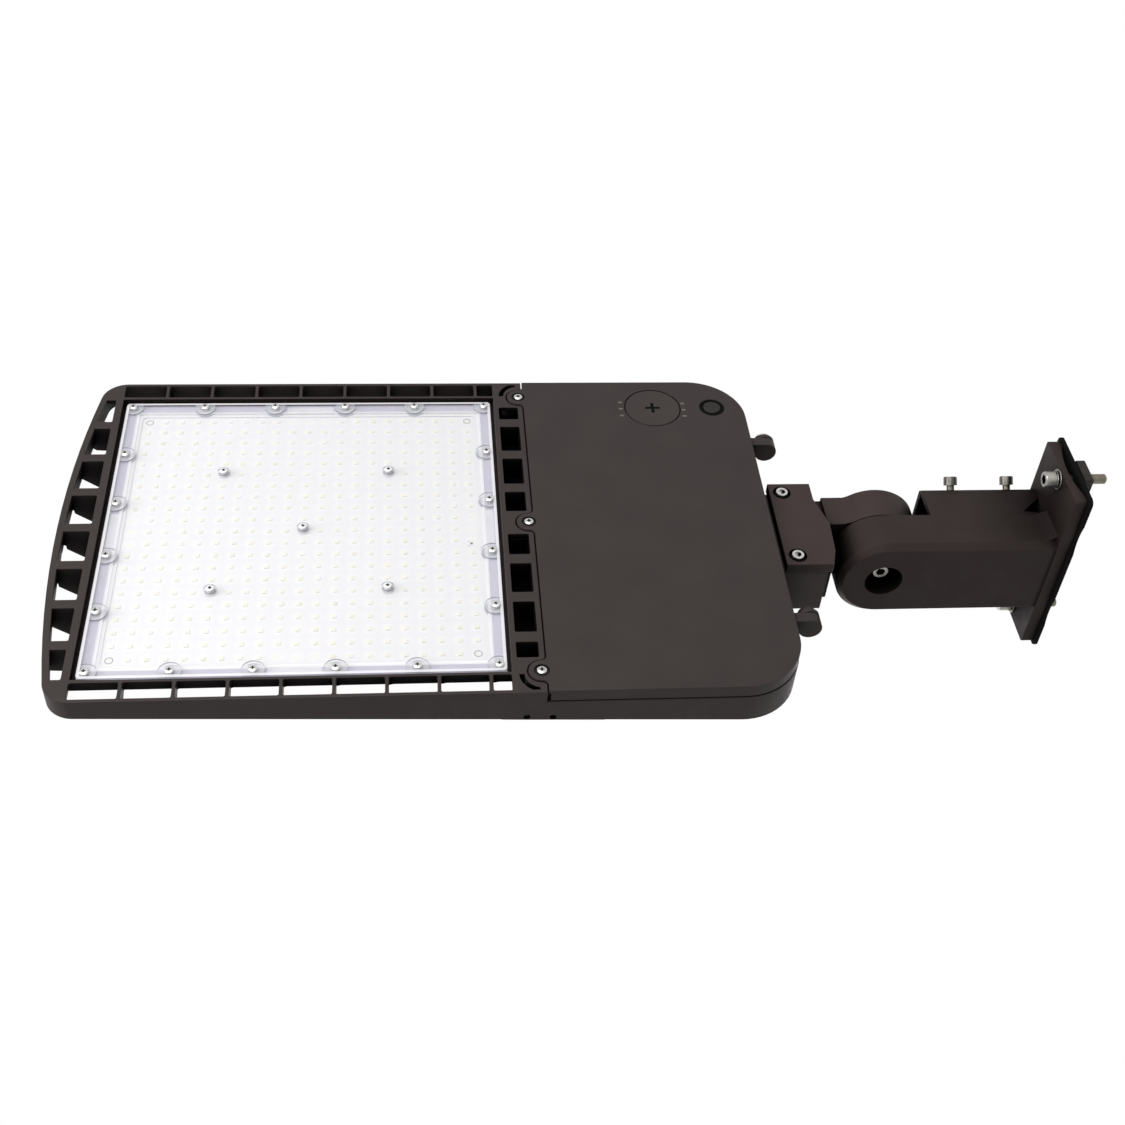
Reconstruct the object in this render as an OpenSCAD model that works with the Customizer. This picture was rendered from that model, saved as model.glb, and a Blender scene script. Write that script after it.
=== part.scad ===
// LED area and street light: windowed die-cast head on a knuckle arm with a pole plate.
// In-use position: +Z up, the lens faces down, +X runs from the pole out over the road.
// The origin is the centre of the gasket's rear face, where the pole stands.

/* [Pole plate] */
// Width of the pole plate
plate_w = 73; // [66:1:90]
// Thickness of the pole plate at its edges
plate_t = 10; // [9:0.5:14]
// Corner radius of the pole plate
plate_corner_r = 3; // [2:0.5:6]
// Depth of the hollow that lets the plate sit on a round pole
plate_hollow = 5; // [2:0.5:6]
// Width of the flat land at each side of that hollow
plate_land = 6.5; // [5:0.5:10]
// Thickness of the rubber gasket
gasket_t = 3; // [2:0.5:5]
// How far the gasket stands out round the plate
gasket_over = 3.5; // [1:0.5:5]
// Distance between the two pole bolts
bolt_pitch = 140.6; // [120:0.1:142]
// Distance from each bolt to the end of the plate
plate_end = 9.2; // [9:0.1:20]
// Radius of the cable hole through plate and gasket
cable_hole_r = 11; // [8:0.5:14]
// Free length of the pole bolts behind the gasket
bolt_tail = 26; // [22:1:40]
// Size of the backing nut blocks along the pole, across it and through it
nut_block = [7.3, 25, 19];

/* [Arm] */
// Distance from the plate's front to the knuckle axis
arm_reach = 132.8; // [125:0.5:170]
// Width of the arm
arm_w = 70; // [64:1:76]
// Height of the arm, which is also the knuckle's diameter
arm_h = 75.4; // [70:0.2:82]
// Wall of the hollow arm
arm_wall = 5; // [4:0.5:6]
// Chamfer along the arm's edges
arm_chamfer = 4.9; // [3:0.1:6]
// Height of the knuckle axis above the plate's centre
knuckle_rise = 5.4; // [0:0.1:8]
// Where the fixed cheek ends across the knuckle
cheek_y = 1.5; // [0:0.5:3]
// Radius of the counterbore for the knuckle bolt's head
counterbore_r = 15; // [13:0.5:17]
// Depth of that counterbore
counterbore_d = 20; // [14:0.5:22]

/* [Neck bracket] */
// Distance from the knuckle axis to the bracket's web
neck_reach = 42.2; // [40:0.2:60]
// Thickness of the web
web_t = 8; // [6:0.5:12]
// Thickness of the flange under the housing's lug
flange_t = 8.4; // [7:0.2:12]
// Half the height of the neck
neck_half_h = 28; // [24:0.5:30]
// Radius of the curve from the knuckle into the neck
blend_r = 28; // [24:0.5:30]
// Length of the housing's lug that the bracket holds
lug_len = 40; // [36:1:50]
// Half the width of that lug
lug_half_w = 44.5; // [42:0.5:50]
// Height of that lug
lug_h = 45.1; // [42:0.1:52]
// Distance of the two bracket screws from the middle
bracket_screw_y = 36; // [35:0.5:38]

/* [Head] */
// Height of the plate's centre above the rim face
rim_drop = 30.7; // [28:0.1:34]
// Half the width of the head
half_w = 173; // [170:0.5:180]
// Length of the driver door
door_len = 188; // [184:1:200]
// Distance from the door to the lens recess
bar_len = 25; // [24.5:0.5:28]
// Length of the windowed rim beyond the lens recess
rim_len = 31; // [29:0.5:36]
// Bow of the outer end over the half width
bow_sag = 16; // [12:0.5:18]
// Corner radius at the outer end
tip_corner_r = 20.5; // [16:0.5:24]
// Corner radius at the pole end
pole_corner_r = 47; // [40:1:50]
// Height of the side wall at the outer end
wall_h_tip = 16.5; // [15:0.5:20]
// Height of the side wall at the pole end
wall_h_root = 37.3; // [36:0.1:42]
// Thickness of the outer wall
wall_t = 3; // [2.5:0.1:4]
// Thickness of the rim face
rim_t = 4; // [3:0.5:5]
// Height of the cooling fins at the lens's outer edge, from the rim face
fin_h_tip = 34; // [30:1:38]
// Height of the cooling fins at the driver bay, from the rim face
fin_h_root = 54.7; // [50:0.1:58]
// Distance between neighbouring fins
fin_pitch = 13.333; // [12:0.001:15]
// Thickness of a fin
fin_t = 3; // [2.5:0.1:3.5]
// Radius of the crown over the fins
crown_r = 720; // [600:10:900]

/* [Rim windows] */
// Distance between the ribs of the end windows
end_rib_pitch = 40; // [39:0.5:41]
// Width of the ribs of the end windows
end_rib_w = 8.5; // [7:0.5:10]
// Half the width that the end windows cover
end_windows_y = 152; // [148:0.5:154]
// Width of the rim outside the end windows
end_rim_w = 5.3; // [4:0.1:7]
// Distance between the ribs of the side windows
side_rib_pitch = 36.57; // [30:0.01:37]
// Thickness of the ribs of the side windows
side_rib_t = 2.6; // [2:0.1:4]
// Width of the ribs of the windows beside the door
mid_rib_w = 10; // [9:0.5:12]
// Corner radius of the windows
window_r = 1.2; // [0.8:0.1:3]

/* [Lens and LED board] */
// Side of the square lens
lens_size = 300; // [298:0.5:302]
// Gap between the lens and its recess
lens_gap = 3; // [2:0.1:4]
// Depth of the lens below the rim face
lens_sink = 2; // [1.5:0.1:3]
// Thickness of the lens pane
pane_t = 1.6; // [1.2:0.1:2]
// Thickness of the lens's edge
lens_edge_t = 2.8; // [2.5:0.1:3.5]
// Thickness of the lens gasket
lens_gasket_t = 1.2; // [1:0.1:1.5]
// Distance of the edge screws from the lens's edge
lens_screw_inset = 5.6; // [5:0.1:6.5]
// Distance between the edge screws
lens_screw_pitch = 57.5; // [55:0.5:59]
// Thickness of the LED board
board_t = 1.6; // [1:0.1:2]
// Distance between neighbouring LEDs
led_pitch = 13; // [12:0.1:13.2]
// Size of one LED
led_size = [2.8, 3.5, 0.7];

/* [Door] */
// Thickness of the door's plate
door_t = 3; // [2.5:0.1:3.5]
// How far the door's face stands below the rim face
door_proud = 0.8; // [0.5:0.1:1.5]
// Height of the door's skirt
skirt_h = 10.6; // [9:0.1:12]
// Thickness of the door's skirt
skirt_t = 2.5; // [2:0.1:3]
// Gap all round the door
door_gap = 1; // [0.8:0.1:1.4]
// Radius of the round screw tabs
tab_r = 9.5; // [9:0.1:10]
// Distance of the outer screw tabs from the head's side
tab_edge = 20; // [19:0.5:21]
// Distance of the hinge axis from the door's end
hinge_back = 12; // [11.5:0.5:14]
// Distance of the hinge axis above the door's face
hinge_up = 10.3; // [9.5:0.1:11]
// Radius of the hinge barrels
hinge_r = 9; // [8:0.1:9.3]
// Middle of each hinge from the head's middle
hinge_y = 100; // [90:1:105]
// Distance of the selector cap from the door's pole end
cap_x = 78.7; // [70:0.1:90]
// Distance of the selector cap and the port plug from the head's side
cap_edge = 35.1; // [35:0.1:39]
// Radius of the selector cap
cap_r = 23.5; // [20:0.1:24]
// Distance of the port plug from the door's pole end
plug_x = 27.8; // [26:0.1:32]
// Radius of the port plug
plug_r = 10.4; // [9:0.1:11]

/* [Hidden] */
$fn = 96;
// Facets of the wide arcs, which need more than the small rounds
wide_fn = 720;
// Small overlap that joins solids, and the reach of cutters past a face
eps = 0.5;
far_out = 400;

// Colours
bronze = [0.20, 0.18, 0.17];
bronze_light = [0.26, 0.235, 0.225];
steel = [0.78, 0.78, 0.77];
black = [0.06, 0.06, 0.065];
rubber_grey = [0.12, 0.12, 0.125];
white = [0.93, 0.93, 0.94];
clear_grey = [0.80, 0.81, 0.88, 0.6];

// Clearances
fit = 0.05;
running = 0.08;
press = 0.02;
joint_gap = 0.5;

// Fasteners
m8_r = 4;
m8_shank_r = 3.75;
m8_engaged_r = 3.6;
m8_head_r = 6.5;
m8_head_h = 8;
m8_hole_r = 4.5;
m8_nut_flat = 13;
m8_nut_h = 6.5;
flat_washer = [8.2, 1.6];
spring_washer = [6.4, 2.1];
m6_r = 3;
m6_head_r = 5;
m6_head_h = 6;
m4_r = 2;
m4_head_r = 3.8;
m4_head_h = 2.6;
screw_fit = 0.05;

// Places along X, from the pole outwards
plate_x0 = gasket_t;
plate_x1 = gasket_t + plate_t;
plate_h = bolt_pitch + 2 * plate_end;
knuckle_x = plate_x1 + arm_reach;
knuckle_z = knuckle_rise;
knuckle_r = arm_h / 2;
// The arm's open end clears the turning ear by this much
ear_gap = 1.1;
tube_end = knuckle_x - knuckle_r - ear_gap;
web_x0 = knuckle_x + neck_reach;
web_x1 = web_x0 + web_t;
bay_x0 = web_x1 + lug_len;
door_x1 = bay_x0 + door_len;
recess_half = lens_size / 2 + lens_gap;
lens_cx = door_x1 + bar_len + recess_half;
tip_x = lens_cx + recess_half + rim_len;

// Heights
rim_z = -rim_drop;
lens_z = rim_z + lens_sink;
door_z = rim_z - door_proud;
skirt_z = door_z + skirt_h;
wall_seat_z = skirt_z + door_gap;
// The bay's lip meets the door gasket at this height
gasket_seat_z = door_z + door_t + 3.8;
hinge_x = bay_x0 - hinge_back;
hinge_z = door_z + hinge_up;
flange_z0 = rim_z + 4.5;
flange_z1 = flange_z0 + flange_t;

// Outer outline of the head: a bowed end between two corner rounds
bow_r = (half_w * half_w + bow_sag * bow_sag) / (2 * bow_sag);
bow_cx = tip_x - bow_r;
tip_cy = half_w - tip_corner_r;
tip_cx = bow_cx + sqrt(pow(bow_r - tip_corner_r, 2) - tip_cy * tip_cy);
pole_cy = half_w - pole_corner_r;
cap_y = half_w - cap_edge;
tab_y = half_w - tab_edge;

// Wall height from the rim face at a place along X
wall_slope = (wall_h_root - wall_h_tip) / (tip_x - bay_x0);
function wall_h(x) = wall_h_tip + wall_slope * (tip_x - x);

// Lens frame
frame_wall = 2.5;
frame_half = recess_half + frame_wall;
ledge_z = lens_z + lens_edge_t + lens_gasket_t;
ledge_t = 2.5;
board_z = ledge_z + 2;
base_t = 4;
pocket_half = lens_size / 2 - 11;
pocket_wall = 3.5;
screw_land_r = 8;
edge_at = lens_size / 2 - lens_screw_inset;
edge_screws = [for (k = [-1.5:1:1.5]) for (s = [-1, 1]) each [
  [k * lens_screw_pitch, s * edge_at],
  [s * edge_at, k * lens_screw_pitch]
]];
corner_screws = [for (sx = [-1, 1]) for (sy = [-1, 1]) [sx * edge_at, sy * edge_at]];
lens_screw_places = concat(edge_screws, corner_screws);
led_mid = floor((pocket_half - 8) / led_pitch);
led_count = 2 * led_mid + 1;
board_screw_step = 5;
board_screw_places = concat([[0, 0]], [for (sx = [-1, 1]) for (sy = [-1, 1])
  [sx, sy] * board_screw_step * led_pitch]);
lens_screw_len = 11;
board_screw_len = 8;

// Windows
side_window_y0 = frame_half;
side_window_y1 = half_w - wall_t;
side_window_x0 = lens_cx - frame_half + 3;
side_window_x1 = lens_cx + recess_half;
side_ribs = 8;
side_rib_first = lens_cx + recess_half - 35;
end_window_x0 = lens_cx + frame_half + 3.5;
mid_window_x0 = door_x1 + 5;
mid_window_x1 = mid_window_x0 + 16;
mid_window_y = [13, 140];
main_ribs = 3;

// Driver bay
bay_wall = 3.5;
lug_wall = 6;
lug_way_half = 27;
bay_x1 = mid_window_x0;
bay_in_x1 = bay_x1 - 4;
ledge_in_x = door_x1 - 7;
lip_out = 0.5 + skirt_t + 0.8;
lip_in = lip_out + 3;
lip_root_z = wall_seat_z + 3.9;
dome_x0 = bay_x0 + 14;
dome_wall = 4;
dome_h = 64.7;
dome_top = rim_z + dome_h;
ceiling_z = dome_top - 7;
dome_r = 10;

// Tab screws of the door
tab_x = door_x1 + 4;
tab_fillet_r = 4;
tab_places = [-tab_y, 0, tab_y];
tab_counter_r = 5.5;
tab_counter_d = 1.5;
tab_boss_h = 15;
tab_slot_r = [12.5, 16.1];
tab_slot_out = 2.5;
door_screw_tip = 13;

// Hinge segments: [first y, last y] from the hinge's middle
hinge_pin_r = 2.5;
hinge_split = 1;
hinge_seg = 9.5;
hinge_end = 1.5;
hinge_lug_t = 3.5;
hinge_head = [7.2, 6];

// Clamp screws of the arm, and the bearing face under the knuckle bolt's washer
arm_screw_x = [plate_x1 + 22, plate_x1 + 69];
arm_screw_neck = 4;
arm_screw_head_h = 7;
arm_screw_boss = 13;
nut_block_gap = 2.3;
knuckle_seat_y = counterbore_d - arm_w / 2 - running;
arm_low_z = knuckle_z - arm_h / 2;
arm_gusset = [9, 4.7];
drain_at = [[0, 2.5], [15.6, 4.5], [0, 20]];

// Curve from the knuckle into the neck; its arcs bite a little into what they join
blend_bite = 0.05;
blend_dz = neck_half_h + blend_r - blend_bite;
blend_dx = sqrt(pow(knuckle_r + blend_r - blend_bite, 2) - blend_dz * blend_dz);
blend_share = knuckle_r / (knuckle_r + blend_r);

// Selector cap: flange, stem, bayonet lugs and the seal ring on the stem
cap_flange = 2.4;
cap_stem_r = 17;
cap_lug_r = 20;
cap_lug_w = 12;
cap_ledge_h = 7;
seal_z = 4;

// Cable way through the knuckle, beside its bolt
way_y = (cheek_y + joint_gap + arm_w / 2 - joint_gap) / 2;
way_z = knuckle_z + 12;
way_r = 5.5;
grommet_r = 6.5;
grommet_bore_r = 4.5;

// Parts in the bay
driver_size = [68, 210, 38];
driver_tab = [24, 10, 2];
driver_x = bay_in_x1 - driver_size[0] - 13;
driver_hole_y = driver_size[1] / 2 + 6;
dome_half_y = driver_size[1] / 2 + driver_tab[1] + 9;
surge_size = [50, 36, 28];
terminal_size = [20, 52, 22];
parts_x = dome_x0 + dome_wall + 8;
surge_y = -75;
terminal_y = -4;
switch_size = [24, 24, 13];
switch_seat_z = rim_z + 27.7;
cap_place = [bay_x0 + cap_x, cap_y];
plug_place = [bay_x0 + plug_x, cap_y];
feed_y = -end_rib_pitch;
feed_r = 3;
feed_z = board_z + base_t + 4;
feed_top = feed_z + feed_r + 2;

// Rectangle with rounded corners, from corner a to corner b
module round_rect(a, b, r) {
  translate([a[0] + r, a[1]]) square([b[0] - a[0] - 2 * r, b[1] - a[1]]);
  translate([a[0], a[1] + r]) square([b[0] - a[0], b[1] - a[1] - 2 * r]);
  for (x = [a[0] + r, b[0] - r]) for (y = [a[1] + r, b[1] - r]) translate([x, y]) circle(r);
}

// Box given by its lowest and highest corners
module span_box(a, b) translate(a) cube(b - a);

// Cylinder along X or Y from a point
module rod_x(p, r, h) translate(p) rotate([0, 90, 0]) cylinder(r = r, h = h);
module rod_y(p, r, h) translate(p) rotate([-90, 0, 0]) cylinder(r = r, h = h);

// Outline in the XZ plane, extruded across the whole width
module side_profile(points, half = half_w + eps) {
  rotate([90, 0, 0]) translate([0, 0, -half]) linear_extrude(2 * half) polygon(points);
}

// Outline of the head seen from below, drawn in by g on every side
module plan(g) {
  translate([bay_x0 + g, -pole_cy]) square([pole_corner_r - g, 2 * pole_cy]);
  for (s = [-1, 1]) translate([bay_x0 + pole_corner_r, s * pole_cy]) circle(pole_corner_r - g);
  translate([bay_x0 + pole_corner_r, -half_w + g])
    square([tip_cx - bay_x0 - pole_corner_r, 2 * (half_w - g)]);
  for (s = [-1, 1]) translate([tip_cx, s * tip_cy]) circle(tip_corner_r - g);
  sector = (bow_r + tip_corner_r) / (bow_r - tip_corner_r);
  sector_x = bow_cx + (tip_cx - bow_cx) * sector;
  intersection() {
    translate([bow_cx, 0]) circle(bow_r - g, $fn = wide_fn);
    polygon([[tip_cx, -tip_cy], [sector_x, -tip_cy * sector], [sector_x, tip_cy * sector],
      [tip_cx, tip_cy]]);
  }
}

// Outline of the door with its three tabs, grown by g
module door_plan(g) {
  intersection() {
    plan(0.5 - g);
    translate([0, -half_w - eps]) square([door_x1 + g, 2 * half_w + 2 * eps]);
  }
  for (y = tab_places) translate([tab_x, y]) {
    circle(tab_r + g);
    difference() {
      translate([door_x1 - tab_x - eps, -tab_r - tab_fillet_r])
        square([tab_x - door_x1 + eps, 2 * (tab_r + tab_fillet_r)]);
      for (s = [-1, 1]) translate([0, s * (tab_r + tab_fillet_r)]) circle(tab_fillet_r - g);
    }
  }
}

// Solid under the slanted back of the side walls, lowered by drop
module wedge(g, drop = 0) {
  intersection() {
    translate([0, 0, rim_z]) linear_extrude(wall_h_root + eps) plan(g);
    side_profile([[bay_x0 - eps, rim_z - eps], [tip_x + eps, rim_z - eps],
      [tip_x + eps, rim_z + wall_h(tip_x + eps) - drop],
      [bay_x0 - eps, rim_z + wall_h(bay_x0 - eps) - drop]]);
  }
}

// The three rows of windows that pierce the rim
module end_windows() {
  intersection() {
    plan(end_rim_w);
    for (k = [-main_ribs - 1:main_ribs]) {
      y0 = max(k * end_rib_pitch + end_rib_w / 2, -end_windows_y);
      y1 = min((k + 1) * end_rib_pitch - end_rib_w / 2, end_windows_y);
      round_rect([end_window_x0, y0], [tip_x, y1], window_r);
    }
  }
}

module side_windows() {
  ribs = [for (i = [0:side_ribs - 1]) side_rib_first - i * side_rib_pitch];
  ends = concat([side_window_x1 + side_rib_t / 2], ribs, [side_window_x0 - side_rib_t / 2]);
  for (i = [0:len(ends) - 2]) for (s = [-1, 1]) mirror([0, s < 0 ? 1 : 0])
    round_rect([ends[i + 1] + side_rib_t / 2, side_window_y0],
      [ends[i] - side_rib_t / 2, side_window_y1], window_r);
}

module mid_windows() {
  for (k = [0:main_ribs]) for (s = [-1, 1]) {
    y0 = max(k * end_rib_pitch + mid_rib_w / 2, mid_window_y[0]);
    y1 = min((k + 1) * end_rib_pitch - mid_rib_w / 2, mid_window_y[1]);
    mirror([0, s < 0 ? 1 : 0])
      round_rect([mid_window_x0, y0], [mid_window_x1, y1], window_r);
  }
}

// Space under the crowned back, where fins may stand
module fin_space() {
  fin_x = lens_cx + recess_half + 6;
  run = fin_x - bay_x1;
  tilt = atan((fin_h_root - fin_h_tip) / (recess_half * 2));
  intersection() {
    side_profile([[bay_x1 - eps, rim_z + eps], [tip_x - eps, rim_z + eps],
      [tip_x - eps, rim_z + wall_h_tip - eps], [fin_x, rim_z + fin_h_tip + eps],
      [bay_x1 - eps, rim_z + fin_h_root + 5]]);
    translate([fin_x, 0, rim_z + fin_h_tip]) rotate([0, tilt, 0])
      rod_x([-run - 10, 0, -crown_r], crown_r, run + 60, $fn = wide_fn);
  }
}

module fin(y, t, x0, x1) span_box([x0, y - t / 2, rim_z + eps], [x1, y + t / 2, far_out]);

module back_fins() {
  intersection() {
    fin_space();
    translate([0, 0, rim_z]) linear_extrude(far_out) plan(eps);
    union() {
      for (k = [-main_ribs:main_ribs]) {
        y = k * end_rib_pitch;
        fin(y, fin_t, bay_x1 - eps, tip_x);
        fin(y, end_rib_w, lens_cx + recess_half, tip_x - end_rim_w + eps);
        fin(y, mid_rib_w, bay_x1 - eps, mid_window_x1 + 2);
      }
      for (k = [-8:8]) if (k % 3 != 0)
        fin(k * fin_pitch, fin_t, lens_cx - frame_half + 2, lens_cx + frame_half - 5);
    }
  }
}

// Square frame of half width h between two heights
module lens_block(h, z0, z1) {
  span_box([lens_cx - h, -h, z0], [lens_cx + h, h, z1]);
}

module lens_pocket() {
  translate([lens_cx, 0, ledge_z - eps]) linear_extrude(board_z - ledge_z + eps)
    pocket_outline(0);
}

// Pocket for the LED board, with a land left round each edge screw
module pocket_outline(g) {
  difference() {
    square(2 * (pocket_half - g), center = true);
    for (p = lens_screw_places) translate(p) circle(screw_land_r + g);
  }
}

// Threaded bosses behind the lens frame
module frame_bosses() {
  for (p = lens_screw_places) translate([lens_cx + p[0], p[1], ledge_z + eps])
    cylinder(r = m4_r + 2.2, h = lens_screw_len - lens_edge_t - lens_gasket_t + 1);
  for (p = board_screw_places) translate([lens_cx + p[0], p[1], board_z + eps])
    cylinder(r = m4_r + 2.2, h = board_screw_len);
}

// Ribs that tie the outer side walls to the lens frame
module side_ties() {
  depth = 12;
  for (i = [0:side_ribs - 1]) for (s = [-1, 1]) mirror([0, s < 0 ? 1 : 0, 0])
    translate([side_rib_first - i * side_rib_pitch - side_rib_t / 2, 0, 0])
    rotate([90, 0, 90]) linear_extrude(side_rib_t)
      polygon([[side_window_y0 - 1, rim_z + eps], [side_window_y1 + 1, rim_z + eps],
        [side_window_y1 + 1, rim_z + depth + 2], [side_window_y0 - 1, ledge_z + ledge_t]]);
}

// Bay dome over the driver
module dome(g) {
  x0 = dome_x0 + g;
  x1 = bay_x1 + eps;
  y = dome_half_y - g;
  z = dome_top - g;
  intersection() {
    rotate([90, 0, 90]) translate([0, 0, x0]) linear_extrude(x1 - x0)
      round_rect([-y, rim_z + eps], [y, z], dome_r);
    side_profile([[x0, rim_z + eps], [x1, rim_z + eps], [x1, z - dome_r], [x1 - dome_r, z],
      [x0 + dome_r, z], [x0, z - dome_r]]);
  }
}

// Lug on the pole end, with the way for the cable
module neck_lug() {
  rotate([90, 0, 90]) translate([0, 0, web_x1]) linear_extrude(dome_x0 - web_x1 + eps)
    round_rect([-lug_half_w, flange_z1], [lug_half_w, flange_z1 + lug_h], 3);
}

module hinge_lug(y0) {
  rod_y([hinge_x, y0, hinge_z], hinge_r, hinge_lug_t);
  span_box([hinge_x, y0, wall_seat_z], [bay_x0 + lip_in, y0 + hinge_lug_t, hinge_z + hinge_r]);
}

// Inside of the bay: opening, tray, dome and lug
module bay_inside() {
  translate([0, 0, gasket_seat_z - eps]) linear_extrude(lip_root_z - gasket_seat_z + 2 * eps)
    intersection() {
      plan(lip_in);
      translate([0, -half_w]) square([ledge_in_x, 2 * half_w]);
    }
  intersection() {
    wedge(bay_wall, bay_wall);
    span_box([0, -half_w, lip_root_z], [bay_in_x1, half_w, far_out]);
  }
  span_box([dome_x0 + dome_wall, -dome_half_y + dome_wall, lip_root_z],
    [bay_in_x1, dome_half_y - dome_wall, ceiling_z]);
  span_box([web_x1 + lug_wall, -lug_way_half, flange_z1 + lug_wall],
    [dome_x0 + dome_wall + eps, lug_way_half, flange_z1 + lug_h - 2.5]);
}

// Cut for the door: its plate and tabs, and the skirt's step outside the lip
module door_seat() {
  translate([0, 0, door_z - 5]) linear_extrude(gasket_seat_z - door_z + 5) door_plan(door_gap);
  translate([0, 0, door_z - 5]) linear_extrude(wall_seat_z - door_z + 5) difference() {
    intersection() {
      plan(-2);
      translate([0, -half_w - 5]) square([door_x1 + door_gap, 2 * half_w + 10]);
    }
    plan(lip_out);
  }
}

module bay_bosses() {
  for (y = tab_places) translate([tab_x, y, gasket_seat_z])
    cylinder(r = 8, h = tab_boss_h);
  translate([cap_place[0], cap_place[1], switch_seat_z]) cylinder(r = 9, h = 4.5);
  span_box([bay_x1 - eps, -mid_window_y[0], gasket_seat_z],
    [lens_cx - recess_half, mid_window_y[0], gasket_seat_z + tab_boss_h]);
  for (s = [-1, 1]) intersection() {
    translate([tab_x, s * tab_y, rim_z + eps]) cylinder(r = tab_r + 4, h = tab_boss_h);
    translate([0, 0, rim_z]) linear_extrude(far_out) plan(eps);
    span_box([bay_in_x1 - 4, -far_out, rim_z], [far_out * 2, far_out, far_out]);
  }
}

// Raised run under the lens frame for the wires to the LED board
module feed_block() {
  difference() {
    span_box([mid_window_x1, feed_y - 5, rim_z + rim_t - eps],
      [lens_cx - frame_half + 16, feed_y + 5, feed_top]);
    lens_block(recess_half, rim_z - 1, ledge_z);
    lens_pocket();
  }
}

// Roof behind the middle windows, from the bay's end wall to the lens frame
module mid_roof() {
  y = half_w - wall_t + eps;
  span_box([bay_x1 - eps, -y, feed_top - eps], [lens_cx - frame_half + eps, y, feed_top + 2.5]);
}

// Curved slots through the rim, round the outer side of the outer tabs
module tab_slots() {
  intersection() {
    plan(wall_t);
    for (s = [-1, 1]) mirror([0, s < 0 ? 1 : 0]) translate([tab_x, tab_y + tab_slot_out])
      intersection() {
        difference() {
          circle(tab_slot_r[1]);
          circle(tab_slot_r[0]);
        }
        translate([bay_x1 + 1 - tab_x, 0]) square(tab_slot_r[1]);
      }
  }
}

module feed_way() {
  rod_x([bay_in_x1 - eps, feed_y, feed_z], feed_r, lens_cx - frame_half + 12 - bay_in_x1);
  translate([lens_cx - frame_half + 12 - feed_r, feed_y, board_z - eps])
    cylinder(r = feed_r, h = feed_z - board_z + eps);
}

// Two small blind holes in the near side wall, just below its back edge
module side_dimples() {
  dimple_r = 2.4;
  depth = 2;
  for (x = [door_x1 - 4, door_x1 + 14.7])
    rod_y([x, -half_w - 1, rim_z + wall_h(x) - dimple_r - 0.4], dimple_r, depth + 1);
}

module housing() {
  color(bronze) difference() {
    union() {
      difference() {
        union() {
          difference() {
            wedge(0);
            intersection() {
              translate([0, 0, rim_z + rim_t]) linear_extrude(far_out) plan(wall_t);
              span_box([bay_x1, -far_out, rim_z], [far_out * 3, far_out, far_out]);
            }
          }
          lens_block(frame_half, rim_z + eps, ledge_z + ledge_t);
          lens_block(pocket_half + pocket_wall, ledge_z, board_z + base_t);
          dome(0);
          neck_lug();
        }
        lens_block(recess_half, rim_z - 1, ledge_z);
        lens_pocket();
        bay_inside();
        translate([0, 0, rim_z - 1]) linear_extrude(far_out) {
          end_windows();
          side_windows();
          mid_windows();
        }
      }
      difference() {
        back_fins();
        lens_block(recess_half + 1, rim_z - 1, board_z + 1);
      }
      frame_bosses();
      side_ties();
      feed_block();
      mid_roof();
      bay_bosses();
      hinge_lug(hinge_y + hinge_split / 2);
      hinge_lug(-hinge_y + hinge_split / 2);
    }
    door_seat();
    feed_way();
    side_dimples();
    translate([0, 0, rim_z - 1]) linear_extrude(tab_boss_h + rim_t) tab_slots();
    for (p = lens_screw_places) translate([lens_cx + p[0], p[1], ledge_z - 1])
      cylinder(r = m4_r + screw_fit, h = lens_screw_len - lens_edge_t - lens_gasket_t + 1);
    for (p = board_screw_places) translate([lens_cx + p[0], p[1], board_z - 1])
      cylinder(r = m4_r + screw_fit, h = board_screw_len);
    for (y = tab_places) translate([tab_x, y, gasket_seat_z - 1])
      cylinder(r = m4_r + 0.7, h = tab_boss_h - 1);
    for (s = [-1, 1]) translate([web_x1 + lug_len / 2 + 4.5, s * bracket_screw_y, flange_z1 - 1])
      cylinder(r = m6_r + screw_fit, h = 20);
    for (s = [-1, 1]) translate([driver_x + driver_size[0] / 2, s * driver_hole_y, ceiling_z - 1])
      cylinder(r = m4_r + screw_fit, h = 6);
    rod_x([web_x1 - 1, way_y, way_z], grommet_r + fit, lug_wall + 2);
    for (s = [-1, 1])
      rod_y([hinge_x, s * hinge_y - hinge_split, hinge_z], hinge_pin_r + press,
        hinge_lug_t + 3 * hinge_split);
  }
}

// Lens of clear plastic with a thicker edge and a land at each screw
module lens() {
  color(clear_grey) translate([lens_cx, 0, 0]) difference() {
    union() {
      translate([0, 0, lens_z]) linear_extrude(pane_t)
        round_rect([-lens_size / 2, -lens_size / 2], [lens_size / 2, lens_size / 2], 3);
      translate([0, 0, lens_z + eps]) linear_extrude(lens_edge_t - eps) difference() {
        round_rect([-lens_size / 2, -lens_size / 2], [lens_size / 2, lens_size / 2], 3);
        pocket_outline(-0.5);
      }
      for (p = board_screw_places) translate([p[0], p[1], lens_z + eps])
        cylinder(r = 4.5, h = board_z - board_t - lens_z - eps);
    }
    for (p = concat(lens_screw_places, board_screw_places))
      translate([p[0], p[1], lens_z - 1]) cylinder(r = m4_r + 0.3, h = far_out / 10);
  }
}

module lens_gasket() {
  color(rubber_grey) translate([lens_cx, 0, lens_z + lens_edge_t]) linear_extrude(lens_gasket_t)
    difference() {
      square(lens_size, center = true);
      pocket_outline(-0.5);
      for (p = lens_screw_places) translate(p) circle(m4_r + 0.3);
    }
}

module lens_screws() {
  color(steel) for (p = lens_screw_places) translate([lens_cx + p[0], p[1], lens_z]) {
    translate([0, 0, -m4_head_h]) cylinder(r = m4_head_r, h = m4_head_h);
    translate([0, 0, -eps]) cylinder(r = m4_r, h = lens_screw_len - 0.5 + eps);
  }
}

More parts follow.
